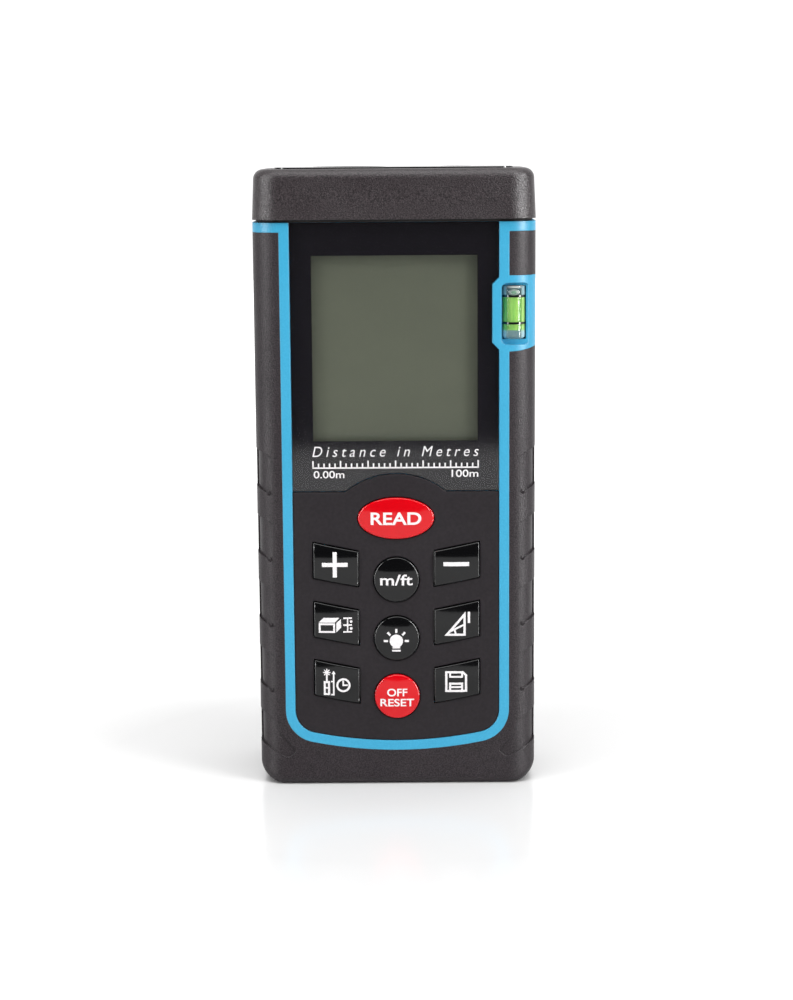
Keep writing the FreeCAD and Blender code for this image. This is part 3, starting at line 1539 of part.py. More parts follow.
def bubble_form(name, grow):
    """An upright ellipsoid where the bubble rests, grown by a margin."""
    item = doc.addObject("Part::Ellipsoid", name)
    item.setExpression("Radius1", full(f"bubble_tall/2 + {grow}"))
    item.setExpression("Radius2", full(f"bubble_radius + {grow}"))
    item.setExpression("Radius3", full(f"bubble_radius + {grow}"))
    shift(item, "vial_side", "vial_depth", f"{PLUG_LOW} - 0.1 - bubble_tall/2")
    return item


keep("vial_bubble", bubble_form("vial_bubble", "0"))
keep("vial_liquid", cut("vial_liquid", liquid_fill, bubble_form("bubble_hollow", "0.05")))
rings = [
    cut(
        f"ring{k}",
        post(f"ring_outside{k}", "vial_side", "vial_depth", "vial_radius + 0.07", z, f"{z} + 0.4"),
        post(f"ring_inside{k}", "vial_side", "vial_depth", "vial_radius", f"{z} - 1", f"{z} + 1"),
    )
    for k, z in enumerate(("ring_low", "ring_high"))
]
ring_pair = doc.addObject("Part::Compound", "vial_rings")
ring_pair.Links = rings
keep("vial_rings", ring_pair)

# ---------------------------------------------------------------- checks and files

doc.recompute()
broken = [o.Name for o in doc.Objects if "Invalid" in o.State or "Error" in o.State]
if broken:
    raise RuntimeError(f"objects that did not compute: {broken}")
for item in made:
    if item.Shape.isNull() or not item.Shape.isValid() or not item.Shape.Solids:
        raise RuntimeError(f"{item.Label} has no valid solid")

os.makedirs("parts", exist_ok=True)
for item in made:
    item.Shape.exportStep(f"parts/{item.Label}.step")
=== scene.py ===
"""Laser distance meter: materials, printed legends, stage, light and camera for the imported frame."""

import json
import math

import bpy
from mathutils import Matrix, Vector
from mathutils.bvhtree import BVHTree


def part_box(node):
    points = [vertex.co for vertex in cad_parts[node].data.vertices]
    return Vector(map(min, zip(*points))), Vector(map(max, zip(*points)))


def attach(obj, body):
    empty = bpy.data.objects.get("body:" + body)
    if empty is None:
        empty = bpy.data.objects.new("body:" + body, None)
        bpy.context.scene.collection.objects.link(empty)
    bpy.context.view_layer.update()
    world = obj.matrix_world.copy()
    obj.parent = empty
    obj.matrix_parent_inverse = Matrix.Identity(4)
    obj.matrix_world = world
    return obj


MM = 0.001

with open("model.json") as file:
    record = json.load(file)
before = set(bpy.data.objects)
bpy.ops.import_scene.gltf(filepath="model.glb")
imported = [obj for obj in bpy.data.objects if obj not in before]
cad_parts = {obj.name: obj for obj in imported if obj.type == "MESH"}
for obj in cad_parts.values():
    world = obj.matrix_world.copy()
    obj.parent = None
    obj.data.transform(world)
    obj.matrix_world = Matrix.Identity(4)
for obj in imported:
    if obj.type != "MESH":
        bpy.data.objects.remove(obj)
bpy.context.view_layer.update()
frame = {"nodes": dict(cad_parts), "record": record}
nodes = frame["nodes"]

# ---------------------------------------------------------------- node helpers


def start_material(name, **values):
    """A new material with one Principled shader. Values are its sockets, with spaces as underscores."""
    material = bpy.data.materials.new(name)
    material.use_nodes = True
    tree = material.node_tree
    shader = next(n for n in tree.nodes if n.type == "BSDF_PRINCIPLED")
    for socket, value in values.items():
        shader.inputs[socket.replace("_", " ")].default_value = value
    return material, tree, shader


def rgb(red, green, blue):
    """A colour given as the 0-255 values of a screen, in the renderer's linear light."""

    def linear(part):
        part /= 255
        return part / 12.92 if part <= 0.04045 else ((part + 0.055) / 1.055) ** 2.4

    return linear(red), linear(green), linear(blue), 1.0


def add(tree, kind, **values):
    """A node of that kind. Values set its properties, or its inputs where no property has the name."""
    node = tree.nodes.new(kind)
    for name, value in values.items():
        if hasattr(node, name):
            setattr(node, name, value)
        else:
            node.inputs[name.replace("_", " ")].default_value = value
    return node


def place(tree, stretch=(1, 1, 1)):
    """The piece's own coordinates in millimetres, squeezed by stretch along each axis."""
    spot = add(tree, "ShaderNodeTexCoord")
    scale = add(tree, "ShaderNodeVectorMath", operation="MULTIPLY")
    scale.inputs[1].default_value = [1000 * part for part in stretch]
    tree.links.new(spot.outputs["Object"], scale.inputs[0])
    return scale.outputs[0]


def own_axes(tree):
    """The piece's own X, Y and Z in millimetres, each a source of its own."""
    split = add(tree, "ShaderNodeSeparateXYZ")
    tree.links.new(place(tree), split.inputs[0])
    return split.outputs


def own_range(node_name, axis):
    """Where a CAD node starts and ends along an axis of its own, in millimetres."""
    index = "XYZ".index(axis)
    corners = nodes[node_name].bound_box
    return corners[0][index] / MM, corners[6][index] / MM


def noise(tree, size, detail=3.0, stretch=(1, 1, 1)):
    """Soft noise whose blobs are about size millimetres across."""
    node = add(tree, "ShaderNodeTexNoise", Scale=1 / size, Detail=detail, Roughness=0.6)
    tree.links.new(place(tree, stretch), node.inputs["Vector"])
    return node.outputs["Fac"]


def cells(tree, size):
    """Rounded cells about size millimetres across: low in the middle of each."""
    node = add(tree, "ShaderNodeTexVoronoi", feature="SMOOTH_F1", Scale=1 / size)
    tree.links.new(place(tree), node.inputs["Vector"])
    return node.outputs["Distance"]


def spread(tree, source, low, high, start=0.3, end=0.7):
    """The source's range from start to end, spread from low to high and held there outside it."""
    node = add(tree, "ShaderNodeMapRange")
    for name, value in (("From Min", start), ("From Max", end), ("To Min", low), ("To Max", high)):
        node.inputs[name].default_value = value
    tree.links.new(source, node.inputs["Value"])
    return node.outputs["Result"]


def between(tree, factor, first, second):
    """A colour that goes from first to second with the factor."""
    node = add(tree, "ShaderNodeMix", data_type="RGBA")
    tree.links.new(factor, node.inputs["Factor"])
    for index, colour in ((6, first), (7, second)):
        if isinstance(colour, tuple):
            node.inputs[index].default_value = colour
        else:
            tree.links.new(colour, node.inputs[index])
    return node.outputs[2]


def rise_at(tree, source, level, blur=0.2):
    """Goes from 0 to 1 as the source passes the level, over blur on either side of it."""
    return spread(tree, source, 0, 1, level - blur, level + blur)


def total(tree, first, second, share):
    """The first source plus a share of the second."""
    node = add(tree, "ShaderNodeMath", operation="MULTIPLY_ADD")
    tree.links.new(second, node.inputs[0])
    node.inputs[1].default_value = share
    tree.links.new(first, node.inputs[2])
    return node.outputs[0]


def relief(tree, shader, height, depth, edge=0.0):
    """Bumps on the shader, depth millimetres from the lowest height to the highest. An edge radius in mm
    makes sharp edges catch the light as rounded ones do."""
    node = add(tree, "ShaderNodeBump", Distance=depth * MM)
    tree.links.new(height, node.inputs["Height"])
    tree.links.new(node.outputs[0], shader.inputs["Normal"])
    if edge:
        rounded = add(tree, "ShaderNodeBevel", samples=6, Radius=edge * MM)
        tree.links.new(rounded.outputs[0], node.inputs["Normal"])


# ---------------------------------------------------------------- materials


def moulded(name, colour, tint, roughness, grain, depth, specular=0.5):
    """Moulded plastic or rubber: mottled colour (on the dark finishes partly a painted sparkle highlight),
    uneven gloss and an etched grain of that size in mm.
    """
    material, tree, shader = start_material(name, Specular_IOR_Level=specular)
    # Random tone. On the dark finishes, its light end is also painted highlight standing in for the sparkle
    # of the grain.
    mottle_and_sparkle = spread(tree, noise(tree, grain * 1.3, 2), 0, 1, 0.35, 0.65)
    tree.links.new(between(tree, mottle_and_sparkle, colour, tint), shader.inputs["Base Color"])
    patches = noise(tree, 14, 2)
    tree.links.new(spread(tree, patches, roughness - 0.05, roughness + 0.06), shader.inputs["Roughness"])
    pits = total(tree, noise(tree, grain, 2), cells(tree, grain * 1.6), 0.6)
    relief(tree, shader, pits, depth, 0.25)
    return material


def glossy(name, colour, tint, specular=0.4):
    """Polished hard plastic with faint swirls of wear and a few specks of dust."""
    material, tree, shader = start_material(name, Specular_IOR_Level=specular)
    specks = spread(tree, noise(tree, 0.22, 1), 0, 1, 0.8, 0.84)
    tree.links.new(between(tree, specks, colour, tint), shader.inputs["Base Color"])
    wear = noise(tree, 1.4, 5, (1, 1, 5))
    tree.links.new(spread(tree, wear, 0.04, 0.09), shader.inputs["Roughness"])
    relief(tree, shader, noise(tree, 5, 2), 0.0015)
    return material


def metal(name, colour, roughness, grain=(1, 1, 12)):
    """Bare metal with brushing along the axis that grain squeezes least."""
    material, tree, shader = start_material(name, Metallic=1.0)
    lines = noise(tree, 0.5, 4, grain)
    darker = tuple(part * 0.8 for part in colour[:3]) + (1.0,)
    tree.links.new(between(tree, spread(tree, lines, 0, 1), darker, colour), shader.inputs["Base Color"])
    tree.links.new(spread(tree, lines, roughness - 0.06, roughness + 0.1), shader.inputs["Roughness"])
    relief(tree, shader, lines, 0.01)
    return material


def clear(name, colour, alpha, roughness=0.03, specular=0.5):
    """Clear glass or acrylic: faint smears change its gloss."""
    material, tree, shader = start_material(
        name, Base_Color=colour, Alpha=alpha, Specular_IOR_Level=specular
    )
    smears = noise(tree, 6, 4, (1, 1, 0.5))
    tree.links.new(spread(tree, smears, roughness, roughness + 0.05), shader.inputs["Roughness"])
    relief(tree, shader, noise(tree, 9, 1), 0.004)
    return material


def display_glass():
    """Unlit display: grey-green reflective film with fine lines of its cells."""
    material, tree, shader = start_material("display_glass", Coat_Weight=0.25, Coat_Roughness=0.08)
    cloud = noise(tree, 16, 2, (0.5, 1, 1))
    tone = between(tree, spread(tree, cloud, 0, 1), rgb(76, 80, 66), rgb(82, 86, 71))
    fine = noise(tree, 0.35, 2)
    dotted = between(tree, spread(tree, fine, 0, 0.12), tone, rgb(66, 70, 58))
    tree.links.new(dotted, shader.inputs["Base Color"])
    tree.links.new(spread(tree, fine, 0.38, 0.5), shader.inputs["Roughness"])
    relief(tree, shader, fine, 0.004)
    return material


def circuit():
    """Circuit board: green solder mask over a pattern of tracks."""
    material, tree, shader = start_material("circuit", Coat_Weight=0.3)
    tracks = add(tree, "ShaderNodeTexBrick", Scale=0.35, Mortar_Size=0.05)
    tree.links.new(place(tree), tracks.inputs["Vector"])
    masked = spread(tree, tracks.outputs["Fac"], 0, 1, 0, 1)
    tree.links.new(between(tree, masked, rgb(10, 74, 38), rgb(38, 120, 66)), shader.inputs["Base Color"])
    tree.links.new(spread(tree, noise(tree, 2, 3), 0.3, 0.45), shader.inputs["Roughness"])
    relief(tree, shader, masked, 0.03)
    return material


def cell_jacket():
    """Battery jacket: dark sleeve with a copper band towards one end and thin scuffs."""
    material, tree, shader = start_material("cell_jacket", Metallic=0.6, Coat_Weight=0.5)
    copper_from = 43.5
    band = rise_at(tree, own_axes(tree)["Z"], copper_from, 0.1)
    scuffs = spread(tree, noise(tree, 1.2, 5, (1, 1, 0.1)), 0, 1, 0.6, 0.8)
    sleeve = between(tree, scuffs, rgb(34, 34, 38), rgb(90, 90, 94))
    tree.links.new(between(tree, band, sleeve, rgb(176, 112, 70)), shader.inputs["Base Color"])
    tree.links.new(spread(tree, noise(tree, 3, 3), 0.22, 0.36), shader.inputs["Roughness"])
    relief(tree, shader, scuffs, 0.01)
    return material


def upright_streaks(tree, dark, light):
    """Fine streaks along Z, and a colour that follows them from dark to light."""
    streaks = noise(tree, 1.1, 3, (1, 1, 0.03))
    return streaks, between(tree, spread(tree, streaks, 0, 1, 0.35, 0.6), dark, light)


def fluid():
    """Spirit in the vial: green with upright streaks, and clearer round the bubble."""
    material, tree, shader = start_material("fluid", Coat_Weight=0.8, Coat_Roughness=0.02)
    streaks, green = upright_streaks(tree, rgb(84, 170, 78), rgb(168, 214, 100))
    bubble_low, _ = own_range("vial_bubble", "Z")
    top = rise_at(tree, own_axes(tree)["Z"], bubble_low)
    tree.links.new(between(tree, top, green, rgb(150, 196, 160)), shader.inputs["Base Color"])
    tree.links.new(spread(tree, top, 0.9, 0.06, 0, 1), shader.inputs["Alpha"])
    tree.links.new(spread(tree, streaks, 0.05, 0.12), shader.inputs["Roughness"])
    relief(tree, shader, streaks, 0.004)
    return material


def vial_wall():
    """Acrylic tube of the vial. It magnifies the liquid, so its wall looks green as far as the liquid
    reaches below the bubble. Its ends and the middle of its front are clearer, the bubble's end most so."""
    material, tree, shader = start_material("vial_wall", Coat_Weight=0.5, Coat_Roughness=0.02)
    axes = own_axes(tree)
    streaks, green = upright_streaks(tree, rgb(104, 196, 100), rgb(178, 224, 124))
    liquid_low, _ = own_range("vial_liquid", "Z")
    bubble_low, _ = own_range("vial_bubble", "Z")
    bottom, top = rise_at(tree, axes["Z"], liquid_low), rise_at(tree, axes["Z"], bubble_low)
    wet = total(tree, bottom, top, -1)
    tree.links.new(between(tree, wet, rgb(178, 214, 220), green), shader.inputs["Base Color"])
    left, right = own_range("vial_tube", "X")
    clear_left, clear_right = (left + right) / 2 - 1.43, (left + right) / 2 + 1.42
    past_right = rise_at(tree, axes["X"], clear_right)
    edge = total(tree, past_right, rise_at(tree, axes["X"], clear_left), -1)
    solid = total(tree, spread(tree, edge, 0.28, 0.85, -1, 0), bottom, -0.05)
    tree.links.new(total(tree, solid, top, -0.15), shader.inputs["Alpha"])
    tree.links.new(spread(tree, streaks, 0.03, 0.07), shader.inputs["Roughness"])
    relief(tree, shader, noise(tree, 9, 1), 0.004)
    return material


def air():
    """Bubble in the vial: seen from the front, a painted highlight ring between a green middle and a
    painted dark rim.
    """
    material, tree, shader = start_material("bubble", Roughness=0.05)
    spans = [own_range("vial_bubble", axis) for axis in "XYZ"]
    offset = add(tree, "ShaderNodeVectorMath", operation="SUBTRACT")
    offset.inputs[1].default_value = [(low + high) / 2 for low, high in spans]
    tree.links.new(place(tree), offset.inputs[0])
    across, _, tall = (high - low for low, high in spans)
    share = add(tree, "ShaderNodeVectorMath", operation="MULTIPLY")
    share.inputs[1].default_value = (2 / across, 0, 2 / tall)
    tree.links.new(offset.outputs[0], share.inputs[0])
    distance = add(tree, "ShaderNodeVectorMath", operation="LENGTH")
    tree.links.new(share.outputs[0], distance.inputs[0])
    inside = spread(tree, distance.outputs["Value"], 0, 1, 0.35, 0.5)
    outside = spread(tree, distance.outputs["Value"], 0, 1, 0.74, 0.86)
    glint = total(tree, inside, outside, -1)
    # Painted light: the bright ring is a painted highlight and the near-black rim is painted shade.
    # Together they stand in for the glints and dark edge that refraction gives a bubble.
    middle_and_painted_glint = between(tree, inside, rgb(118, 168, 116), rgb(255, 255, 244))
    tree.links.new(between(tree, outside, middle_and_painted_glint, rgb(18, 48, 30)), shader.inputs["Base Color"])
    relief(tree, shader, glint, 0.02)
    return material


def ink(name, colour):
    """Screen-printed ink: nearly flat, with a slightly uneven film."""
    material, tree, shader = start_material(name)
    film = noise(tree, 0.3, 3)
    darker = tuple(part * 0.88 for part in colour[:3]) + (1.0,)
    tree.links.new(between(tree, spread(tree, film, 0, 1), darker, colour), shader.inputs["Base Color"])
    tree.links.new(spread(tree, film, 0.4, 0.55), shader.inputs["Roughness"])
    relief(tree, shader, film, 0.004)
    return material


def make_materials():
    """Every material, by the name of the record's slot that it finishes."""
    steel = metal("steel", rgb(190, 190, 194), 0.3)
    return {
        "blue_plastic": moulded("blue_abs", rgb(42, 148, 186), rgb(48, 154, 192), 0.42, 0.3, 0.012),
        # grip_tpe and etched_abs mottle from near black to grey: partly random tone, partly painted sparkle
        # highlight of the grain.
        "grip_rubber": moulded("grip_tpe", rgb(12, 6, 10), rgb(50, 43, 47), 0.46, 0.17, 0.045, 0.28),
        "black_plastic": moulded("etched_abs", rgb(6, 2, 4), rgb(58, 50, 53), 0.34, 0.17, 0.07, 0.42),
        "panel_plastic": moulded("satin_abs", rgb(23, 18, 22), rgb(29, 24, 28), 0.48, 0.5, 0.01, 0.25),
        "gasket_rubber": moulded("gasket", rgb(18, 18, 18), rgb(24, 24, 24), 0.7, 0.4, 0.02, 0.3),
        "label_film": moulded("label_foil", rgb(150, 152, 156), rgb(158, 160, 164), 0.45, 0.5, 0.01),
        "steel": steel,
        "gloss_black": glossy("gloss_black", rgb(7, 7, 8), rgb(60, 58, 56)),
        "clear_window": clear("window_acrylic", (0.02, 0.02, 0.02, 1), 0.05, 0.03, 0.75),
        "mask_black": glossy("mask_ink", rgb(19, 17, 22), rgb(28, 27, 29), 0.72),
        "lens_glass": clear("coated_glass", rgb(96, 60, 120), 0.45),
        "lcd_glass": display_glass(),
        "light_guide": moulded("light_guide", rgb(206, 212, 200), rgb(214, 220, 208), 0.25, 1.0, 0.01),
        "white_plastic": moulded("white_abs", rgb(196, 196, 190), rgb(206, 206, 200), 0.45, 0.4, 0.02),
        "flex_film": glossy("flex_film", rgb(150, 84, 26), rgb(182, 116, 52)),
        "key_red": glossy("key_red", rgb(196, 3, 16), rgb(214, 50, 56)),
        "silicone": moulded("silicone", rgb(118, 118, 122), rgb(128, 128, 132), 0.6, 0.6, 0.02, 0.3),
        "circuit_green": circuit(),
        "chip_black": moulded("chip_epoxy", rgb(26, 26, 28), rgb(34, 34, 36), 0.5, 0.4, 0.02),
        "bench_aluminium": metal("anodised", rgb(64, 64, 70), 0.45),
        "brass": metal("turned_brass", rgb(206, 168, 92), 0.28, (1, 1, 8)),
        "cell_jacket": cell_jacket(),
        "spring_steel": metal("nickel", rgb(206, 204, 198), 0.22),
        "vial_acrylic": vial_wall(),
        "vial_fluid": fluid(),
        "air": air(),
    }


def paint_nodes(materials):
    """Gives each CAD node the material of its record slot."""
    slots = {entry["node"]: entry["material_slot"] for entry in frame["record"]["subparts"]}
    for name, node in nodes.items():
        node.data.materials.clear()
        node.data.materials.append(materials[slots[name]])


# ---------------------------------------------------------------- printed legends


STROKE_STEP = 0.7  # longest quad of a stroke, in mm, so that it can follow a domed key
PRINT_PROUD = 0.03  # how far the prints stand off the surface, in mm
PRINT_THICK = 0.06  # thickness of the prints, in mm
BEFORE_METER = -0.03  # Y before the meter's front, in metres


def polyline(points, width, closed=False):
    """A stroke of even width along the points, as short quads of (across, up) pairs."""
    spots = [Vector(p) for p in points]
    if closed:
        spots.append(spots[0])
    fine = [spots[0]]
    for a, b in zip(spots, spots[1:]):
        count = max(1, math.ceil((b - a).length / STROKE_STEP))
        fine += [a.lerp(b, k / count) for k in range(1, count + 1)]
    ways = [(b - a).normalized() for a, b in zip(fine, fine[1:])]
    edges = []
    for k, spot in enumerate(fine):
        into = ways[k - 1] if k or closed else ways[0]
        out = ways[k % len(ways)] if k < len(ways) or closed else ways[-1]
        side = Vector((-(into + out).y, (into + out).x)).normalized()
        reach = width / 2 / max(0.35, side.dot(Vector((-out.y, out.x))))
        edges.append((spot + side * reach, spot - side * reach))
    return [(a[0], a[1], b[1], b[0]) for a, b in zip(edges, edges[1:])]


def disc(x, y, radius, count=28):
    """A filled circle as a fan of triangles."""
    rim = [Vector((x, y)) + radius * turned(k / count) for k in range(count)]
    return [(Vector((x, y)), rim[k], rim[(k + 1) % count]) for k in range(count)]


def ring(x, y, radius, width, count=32):
    """A circle drawn with a stroke."""
    return polyline([Vector((x, y)) + radius * turned(k / count) for k in range(count)], width, True)


def turned(share):
    """The unit vector at that share of a full turn."""
    return Vector((math.cos(math.tau * share), math.sin(math.tau * share)))


def bar(way):
    """A bold bar through the middle, along the unit vector."""
    return polyline([-2.45 * way, 2.45 * way], 0.78)


def minus_sign():
    """One bar."""
    return bar(Vector((1, 0)))


def plus_sign():
    """Two crossed bars."""
    return minus_sign() + bar(Vector((0, 1)))


def bulb():
    """A lamp bulb with five rays."""
    middle = Vector((0, -0.15))
    shapes = disc(*middle, 1.28)
    shapes += polyline([(0, -0.6), (0, -1.6)], 1.45)
    shapes += polyline([(-0.82, -2.05), (0.82, -2.05)], 0.33)
    for k in range(5):
        way = turned(k / 8)
        shapes += polyline([middle + 1.6 * way, middle + 2.38 * way], 0.4)
    return shapes


def patch(corners, count=5):
    """A four-cornered shape as a grid of small ones, so that it follows a curved surface."""
    a, b, c, d = (Vector(corner) for corner in corners)

    def spot(i, k):
        return a.lerp(b, i / count).lerp(d.lerp(c, i / count), k / count)

    return [
        (spot(i, k), spot(i + 1, k), spot(i + 1, k + 1), spot(i, k + 1))
        for i in range(count)
        for k in range(count)
    ]


def solid_box():
    """A box in oblique view beside a small height gauge."""
    shapes = polyline([(-3.12, -1.32), (-0.35, -1.32), (-0.35, 0.2), (-3.12, 0.2)], 0.36, True)
    shapes += patch([(-3.3, 0.52), (-0.2, 0.52), (0.66, 1.44), (-2.35, 1.44)])
    shapes += patch([(0.07, -1.4), (0.98, -0.44), (0.95, 1.2), (0.07, 0.42)])
    shapes += polyline([(2.22, -1.32), (2.22, 1.35)], 0.25)
    for level in (-1.32, 0.02, 1.35):
        shapes += polyline([(1.38, level), (3.05, level)], 0.29)
    for level in (-0.65, 0.69):
        shapes += disc(2.9, level, 0.27, 12)
    return shapes


def right_triangle():
    """A right triangle with a line and an arc in its sharp corner, beside an upright bar."""
    shapes = polyline([(-1.85, -2.22), (1.55, -2.22), (1.55, 1.75)], 0.43, True)
    shapes += polyline([(-1.24, -1.57), (1.37, -0.29)], 0.36)
    shapes += polyline([(-0.33, -1.3), (-0.15, -2.1)], 0.34)
    shapes += polyline([(2.38, 0.07), (2.38, 2.23)], 0.46)
    return shapes


def clock_and_meter():
    """A small meter sending a ray up, an arrow from its foot, and a clock."""
    shapes = polyline([(-2.34, -2.31), (-1.52, -2.31), (-1.52, 0.08), (-2.34, 0.08)], 0.38, True)
    shapes += polyline([(-2.34, -1.07), (-1.52, -1.07)], 0.33)
    shapes += polyline([(-1.92, 0.2), (-1.92, 1.6)], 0.33)
    for k in range(4):
        way = turned(k / 8) * 0.7
        spot = Vector((-1.92, 1.94))
        shapes += polyline([spot - way, spot + way], 0.2)
    shapes += polyline([(-1.15, -2.42), (-0.62, -2.42), (-0.62, 1.8)], 0.3)
    shapes += polyline([(-1.15, 0.18), (-0.62, 0.18)], 0.26)
    shapes.append([(-1.02, 1.65), (-0.22, 1.65), (-0.62, 2.25)])
    shapes += ring(1.24, -0.57, 1.18, 0.38)
    shapes += polyline([(1.2, 0.35), (1.2, -0.57), (2.1, -0.57)], 0.3)
    return shapes


def disk():
    """A storage disk with its shutter and a ruled label."""
    outline = [(-1.88, -1.83), (1.9, -1.83), (1.9, 1.25), (1.3, 1.84), (-1.88, 1.84)]
    shapes = polyline(outline, 0.42, True)
    shapes += polyline([(-1.15, 1.7), (-1.15, 0.96), (1.15, 0.96), (1.15, 1.7)], 0.34)
    shapes += polyline([(-1.15, -1.7), (-1.15, -0.38), (1.15, -0.38), (1.15, -1.7)], 0.4)
    shapes += polyline([(-1.1, -1.06), (1.1, -1.06)], 0.36)
    return shapes


def lettering(text, width, height, weight=0.0, slant=0.0, spacing=1.0):
    """The text's outlines as polygons, centred and scaled to that width and height in mm."""
    curve = bpy.data.curves.new("lettering", "FONT")
    curve.body = text
    curve.offset = weight
    curve.shear = slant
    curve.space_character = spacing
    holder = bpy.data.objects.new("lettering", curve)
    mesh = holder.to_mesh()
    spots = [v.co.xy for v in mesh.vertices]
    low = Vector(min(s[k] for s in spots) for k in (0, 1))
    high = Vector(max(s[k] for s in spots) for k in (0, 1))
    scale = Vector((width / (high.x - low.x), height / (high.y - low.y)))
    spots = [(s - (low + high) / 2) * scale for s in spots]
    shapes = [[spots[k] for k in face.vertices] for face in mesh.polygons]
    holder.to_mesh_clear()
    bpy.data.objects.remove(holder)
    return shapes


def moved(shapes, x, y):
    """The shapes shifted in their plane."""
    return [[Vector(p) + Vector((x, y)) for p in shape] for shape in shapes]


def print_on(node_name, name, shapes, x, z, material):
    """Prints the shapes on the front of a CAD node: each point lands on the surface, a hair proud of it."""
    node = nodes[node_name]
    surface = BVHTree.FromPolygons(
        [node.matrix_world @ v.co for v in node.data.vertices], [p.vertices[:] for p in node.data.polygons]
    )
    points, faces, known = [], [], {}
    for shape in shapes:
        face = []
        for p in shape:
            key = (round(p[0], 5), round(p[1], 5))
            if key not in known:
                known[key] = len(points)
                start = Vector(((x + p[0]) * MM, BEFORE_METER, (z + p[1]) * MM))
                hit = surface.ray_cast(start, Vector((0, 1, 0)))[0]
                points.append(Vector((start.x, hit.y - PRINT_PROUD * MM, start.z)))
            face.append(known[key])
        if len(set(face)) == len(face):
            faces.append(face)
    mesh = bpy.data.meshes.new(name)
    mesh.from_pydata(points, [], faces)
    mesh.update()
    if sum(p.normal.y * p.area for p in mesh.polygons) > 0:
        mesh.flip_normals()
    obj = bpy.data.objects.new(name, mesh)
    bpy.context.scene.collection.objects.link(obj)
    film = obj.modifiers.new("film", "SOLIDIFY")
    film.thickness = PRINT_THICK * MM
    film.offset = -1
    mesh.materials.append(material)
    return obj


def centre_of(node_name):
    """Middle of a CAD node seen from the front, in mm."""
    low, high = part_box(node_name)
    return (low[0] + high[0]) / 2 / MM, (low[2] + high[2]) / 2 / MM


def print_keys(material):
    """The legend on each key, riding with it."""
    legends = {
        "key_measure": lettering("READ", 9.6, 2.4, 0.02),
        "key_plus": moved(plus_sign(), -0.2, 0.1),
        "key_minus": moved(minus_sign(), -0.1, 0.1),
        "key_unit": lettering("m/ft", 6.2, 2.1, 0.015),
        "key_area": moved(solid_box(), -0.1, -0.2),
        "key_angle": moved(right_triangle(), -0.1, 0),
        "key_light": moved(bulb(), -0.1, -0.3),
        "key_timer": moved(clock_and_meter(), -0.05, 0),
        "key_save": moved(disk(), -0.2, 0),
        "key_off": moved(lettering("OFF", 3.85, 1.5, 0.015), 0, 0.85)
        + moved(lettering("RESET", 6.5, 1.5, 0.015), 0, -1.15),
    }
    for name, shapes in legends.items():
        x, z = centre_of(name)
        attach(print_on(name, name + "_legend", shapes, x, z, material), name + "_body")


def print_window(material):
    """The title, the scale and its two figures under the display."""
    shapes = moved(lettering("Distance in Metres", 31.4, 1.95, -0.004, 0.25, 1.5), 0, 64.95)
    half, base, divisions, per_major, line = 15.6, 61.85, 30, 5, 0.27
    shapes += polyline([(-half - 0.13, base), (half + 0.13, base)], line)
    for k in range(divisions + 1):
        across = -half + 2 * half * k / divisions
        tall = 1.35 if k % per_major == 0 else 0.85
        shapes += polyline([(across, base), (across, base + tall)], line)
    shapes += moved(lettering("0.00m", 5.8, 1.4, 0.008), -12.6, 60.6)
    shapes += moved(lettering("100m", 5.05, 1.4, 0.008), 13.1, 60.7)
    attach(print_on("display_window", "window_print", shapes, 0, 0, material), "housing")


# ---------------------------------------------------------------- stage, light and camera


def sheet_mesh(name, corners, material):
    """A flat sheet through its corners, which isn't part of the object."""
    mesh = bpy.data.meshes.new(name)
    mesh.from_pydata(corners, [], [list(range(len(corners)))])
    mesh.materials.append(material)
    obj = bpy.data.objects.new(name, mesh)
    bpy.context.scene.collection.objects.link(obj)


def build_stage():
    """A white table that ends before the camera, and a lit white backdrop. Away from the meter the table
    glows, so that it runs into the backdrop."""
    white, black = (1, 1, 1, 1), (0, 0, 0, 1)
    reach, table_edge, back, high = 3, -0.481, 1.6, 3
    table, tree, shader = start_material("table", Roughness=0.2, Emission_Color=white)
    radius = add(tree, "ShaderNodeVectorMath", operation="LENGTH")
    tree.links.new(place(tree), radius.inputs[0])
    away = spread(tree, radius.outputs["Value"], 0, 1, 60, 150)
    tree.links.new(spread(tree, away, 0, 0.9, 0, 1), shader.inputs["Emission Strength"])
    tree.links.new(between(tree, away, (0.7, 0.7, 0.7, 1), (0.2, 0.2, 0.2, 1)), shader.inputs["Base Color"])
    corners = [(-reach, table_edge, 0), (reach, table_edge, 0), (reach, reach, 0), (-reach, reach, 0)]
    sheet_mesh("table", corners, table)
    backdrop = start_material("backdrop", Base_Color=black, Emission_Color=white, Emission_Strength=1.05)[0]
    corners = [(-reach, back, -0.2), (reach, back, -0.2), (reach, back, high), (-reach, back, high)]
    sheet_mesh("backdrop", corners, backdrop)


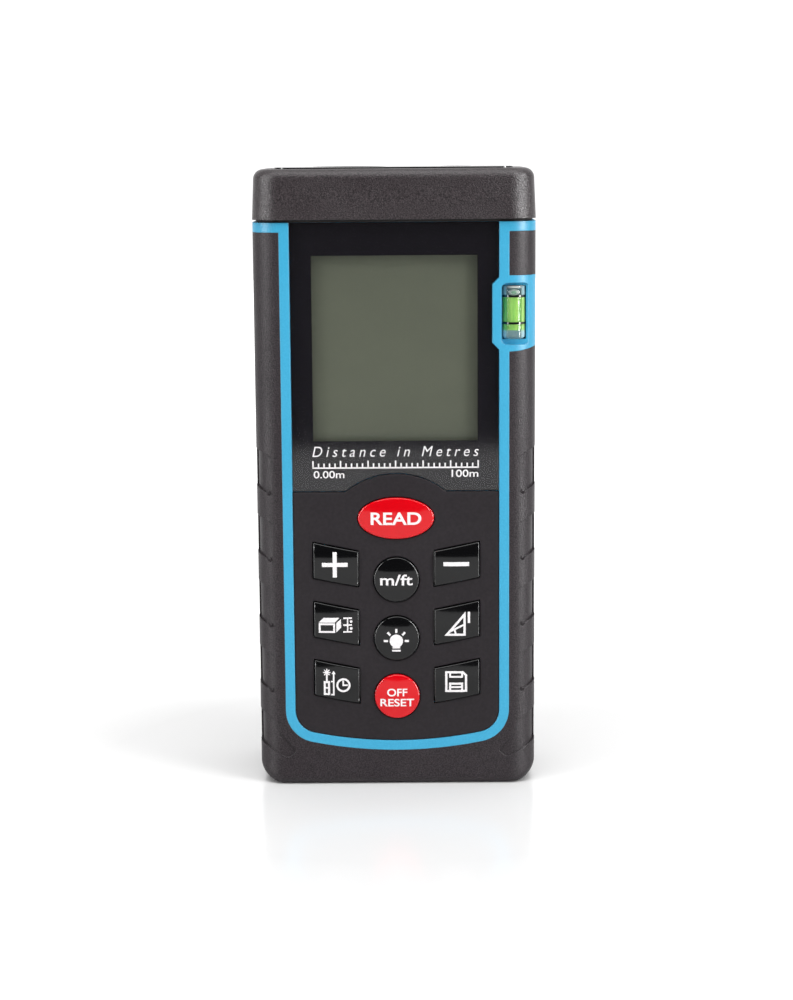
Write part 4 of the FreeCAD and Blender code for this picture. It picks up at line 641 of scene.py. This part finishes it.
def softbox(name, spot, aim, width, height, power):
    """A rectangular soft light that faces a point."""
    lamp = bpy.data.lights.new(name, "AREA")
    lamp.shape = "RECTANGLE"
    lamp.size, lamp.size_y, lamp.energy = width, height, power
    obj = bpy.data.objects.new(name, lamp)
    obj.location = spot
    obj.rotation_euler = (Vector(aim) - Vector(spot)).to_track_quat("-Z", "Y").to_euler()
    bpy.context.scene.collection.objects.link(obj)
    return obj


def build_lights():
    """One softbox overhead and one at each side, in a dim room. Two strips are seen only in reflections."""
    middle = (0, 0, 0.06)
    softbox("overhead", (0.05, -0.25, 1.0), middle, 1.2, 0.9, 14)
    softbox("right_side", (0.75, -0.5, 0.45), middle, 0.35, 0.8, 7)
    softbox("left_side", (-0.8, -0.5, 0.4), middle, 0.35, 0.8, 5)
    strips = (("right_strip", (0.75, -0.42, 0.3), 14), ("left_strip", (-0.8, -0.4, 0.3), 7))
    for name, spot, power in strips:
        softbox(name, spot, middle, 0.16, 0.8, power).visible_diffuse = False
    world = bpy.data.worlds.new("room")
    world.use_nodes = True
    world.node_tree.nodes["Background"].inputs["Color"].default_value = (0.05, 0.05, 0.052, 1)
    bpy.context.scene.world = world


def build_camera():
    """The camera: a long lens a little above the top of the meter, looking slightly down."""
    lens = bpy.data.cameras.new("camera")
    lens.sensor_width = 36
    lens.lens = 77.6
    lens.clip_start = 0.01
    spot = [part * MM for part in (1.85, -416.09, 121.70)]
    pan, tilt, roll = (math.radians(angle) for angle in (0.2454, -9.3088, 0.4193))
    turn = Matrix.Rotation(pan, 3, "Z") @ Matrix.Rotation(tilt, 3, "X") @ Matrix.Rotation(roll, 3, "Y")
    right, forward, up = (turn @ Vector(axis) for axis in ((1, 0, 0), (0, 1, 0), (0, 0, 1)))
    obj = bpy.data.objects.new("camera", lens)
    obj.matrix_world = Matrix([[*row] for row in zip(right, up, -forward, spot)] + [[0, 0, 0, 1]])
    bpy.context.scene.collection.objects.link(obj)
    bpy.context.scene.camera = obj
    bpy.context.scene.view_settings.view_transform = "Standard"


# ---------------------------------------------------------------- scene

finishes = make_materials()
paint_nodes(finishes)
white_ink = ink("white_ink", rgb(226, 223, 224))
print_keys(white_ink)
print_window(white_ink)
build_stage()
build_lights()
build_camera()
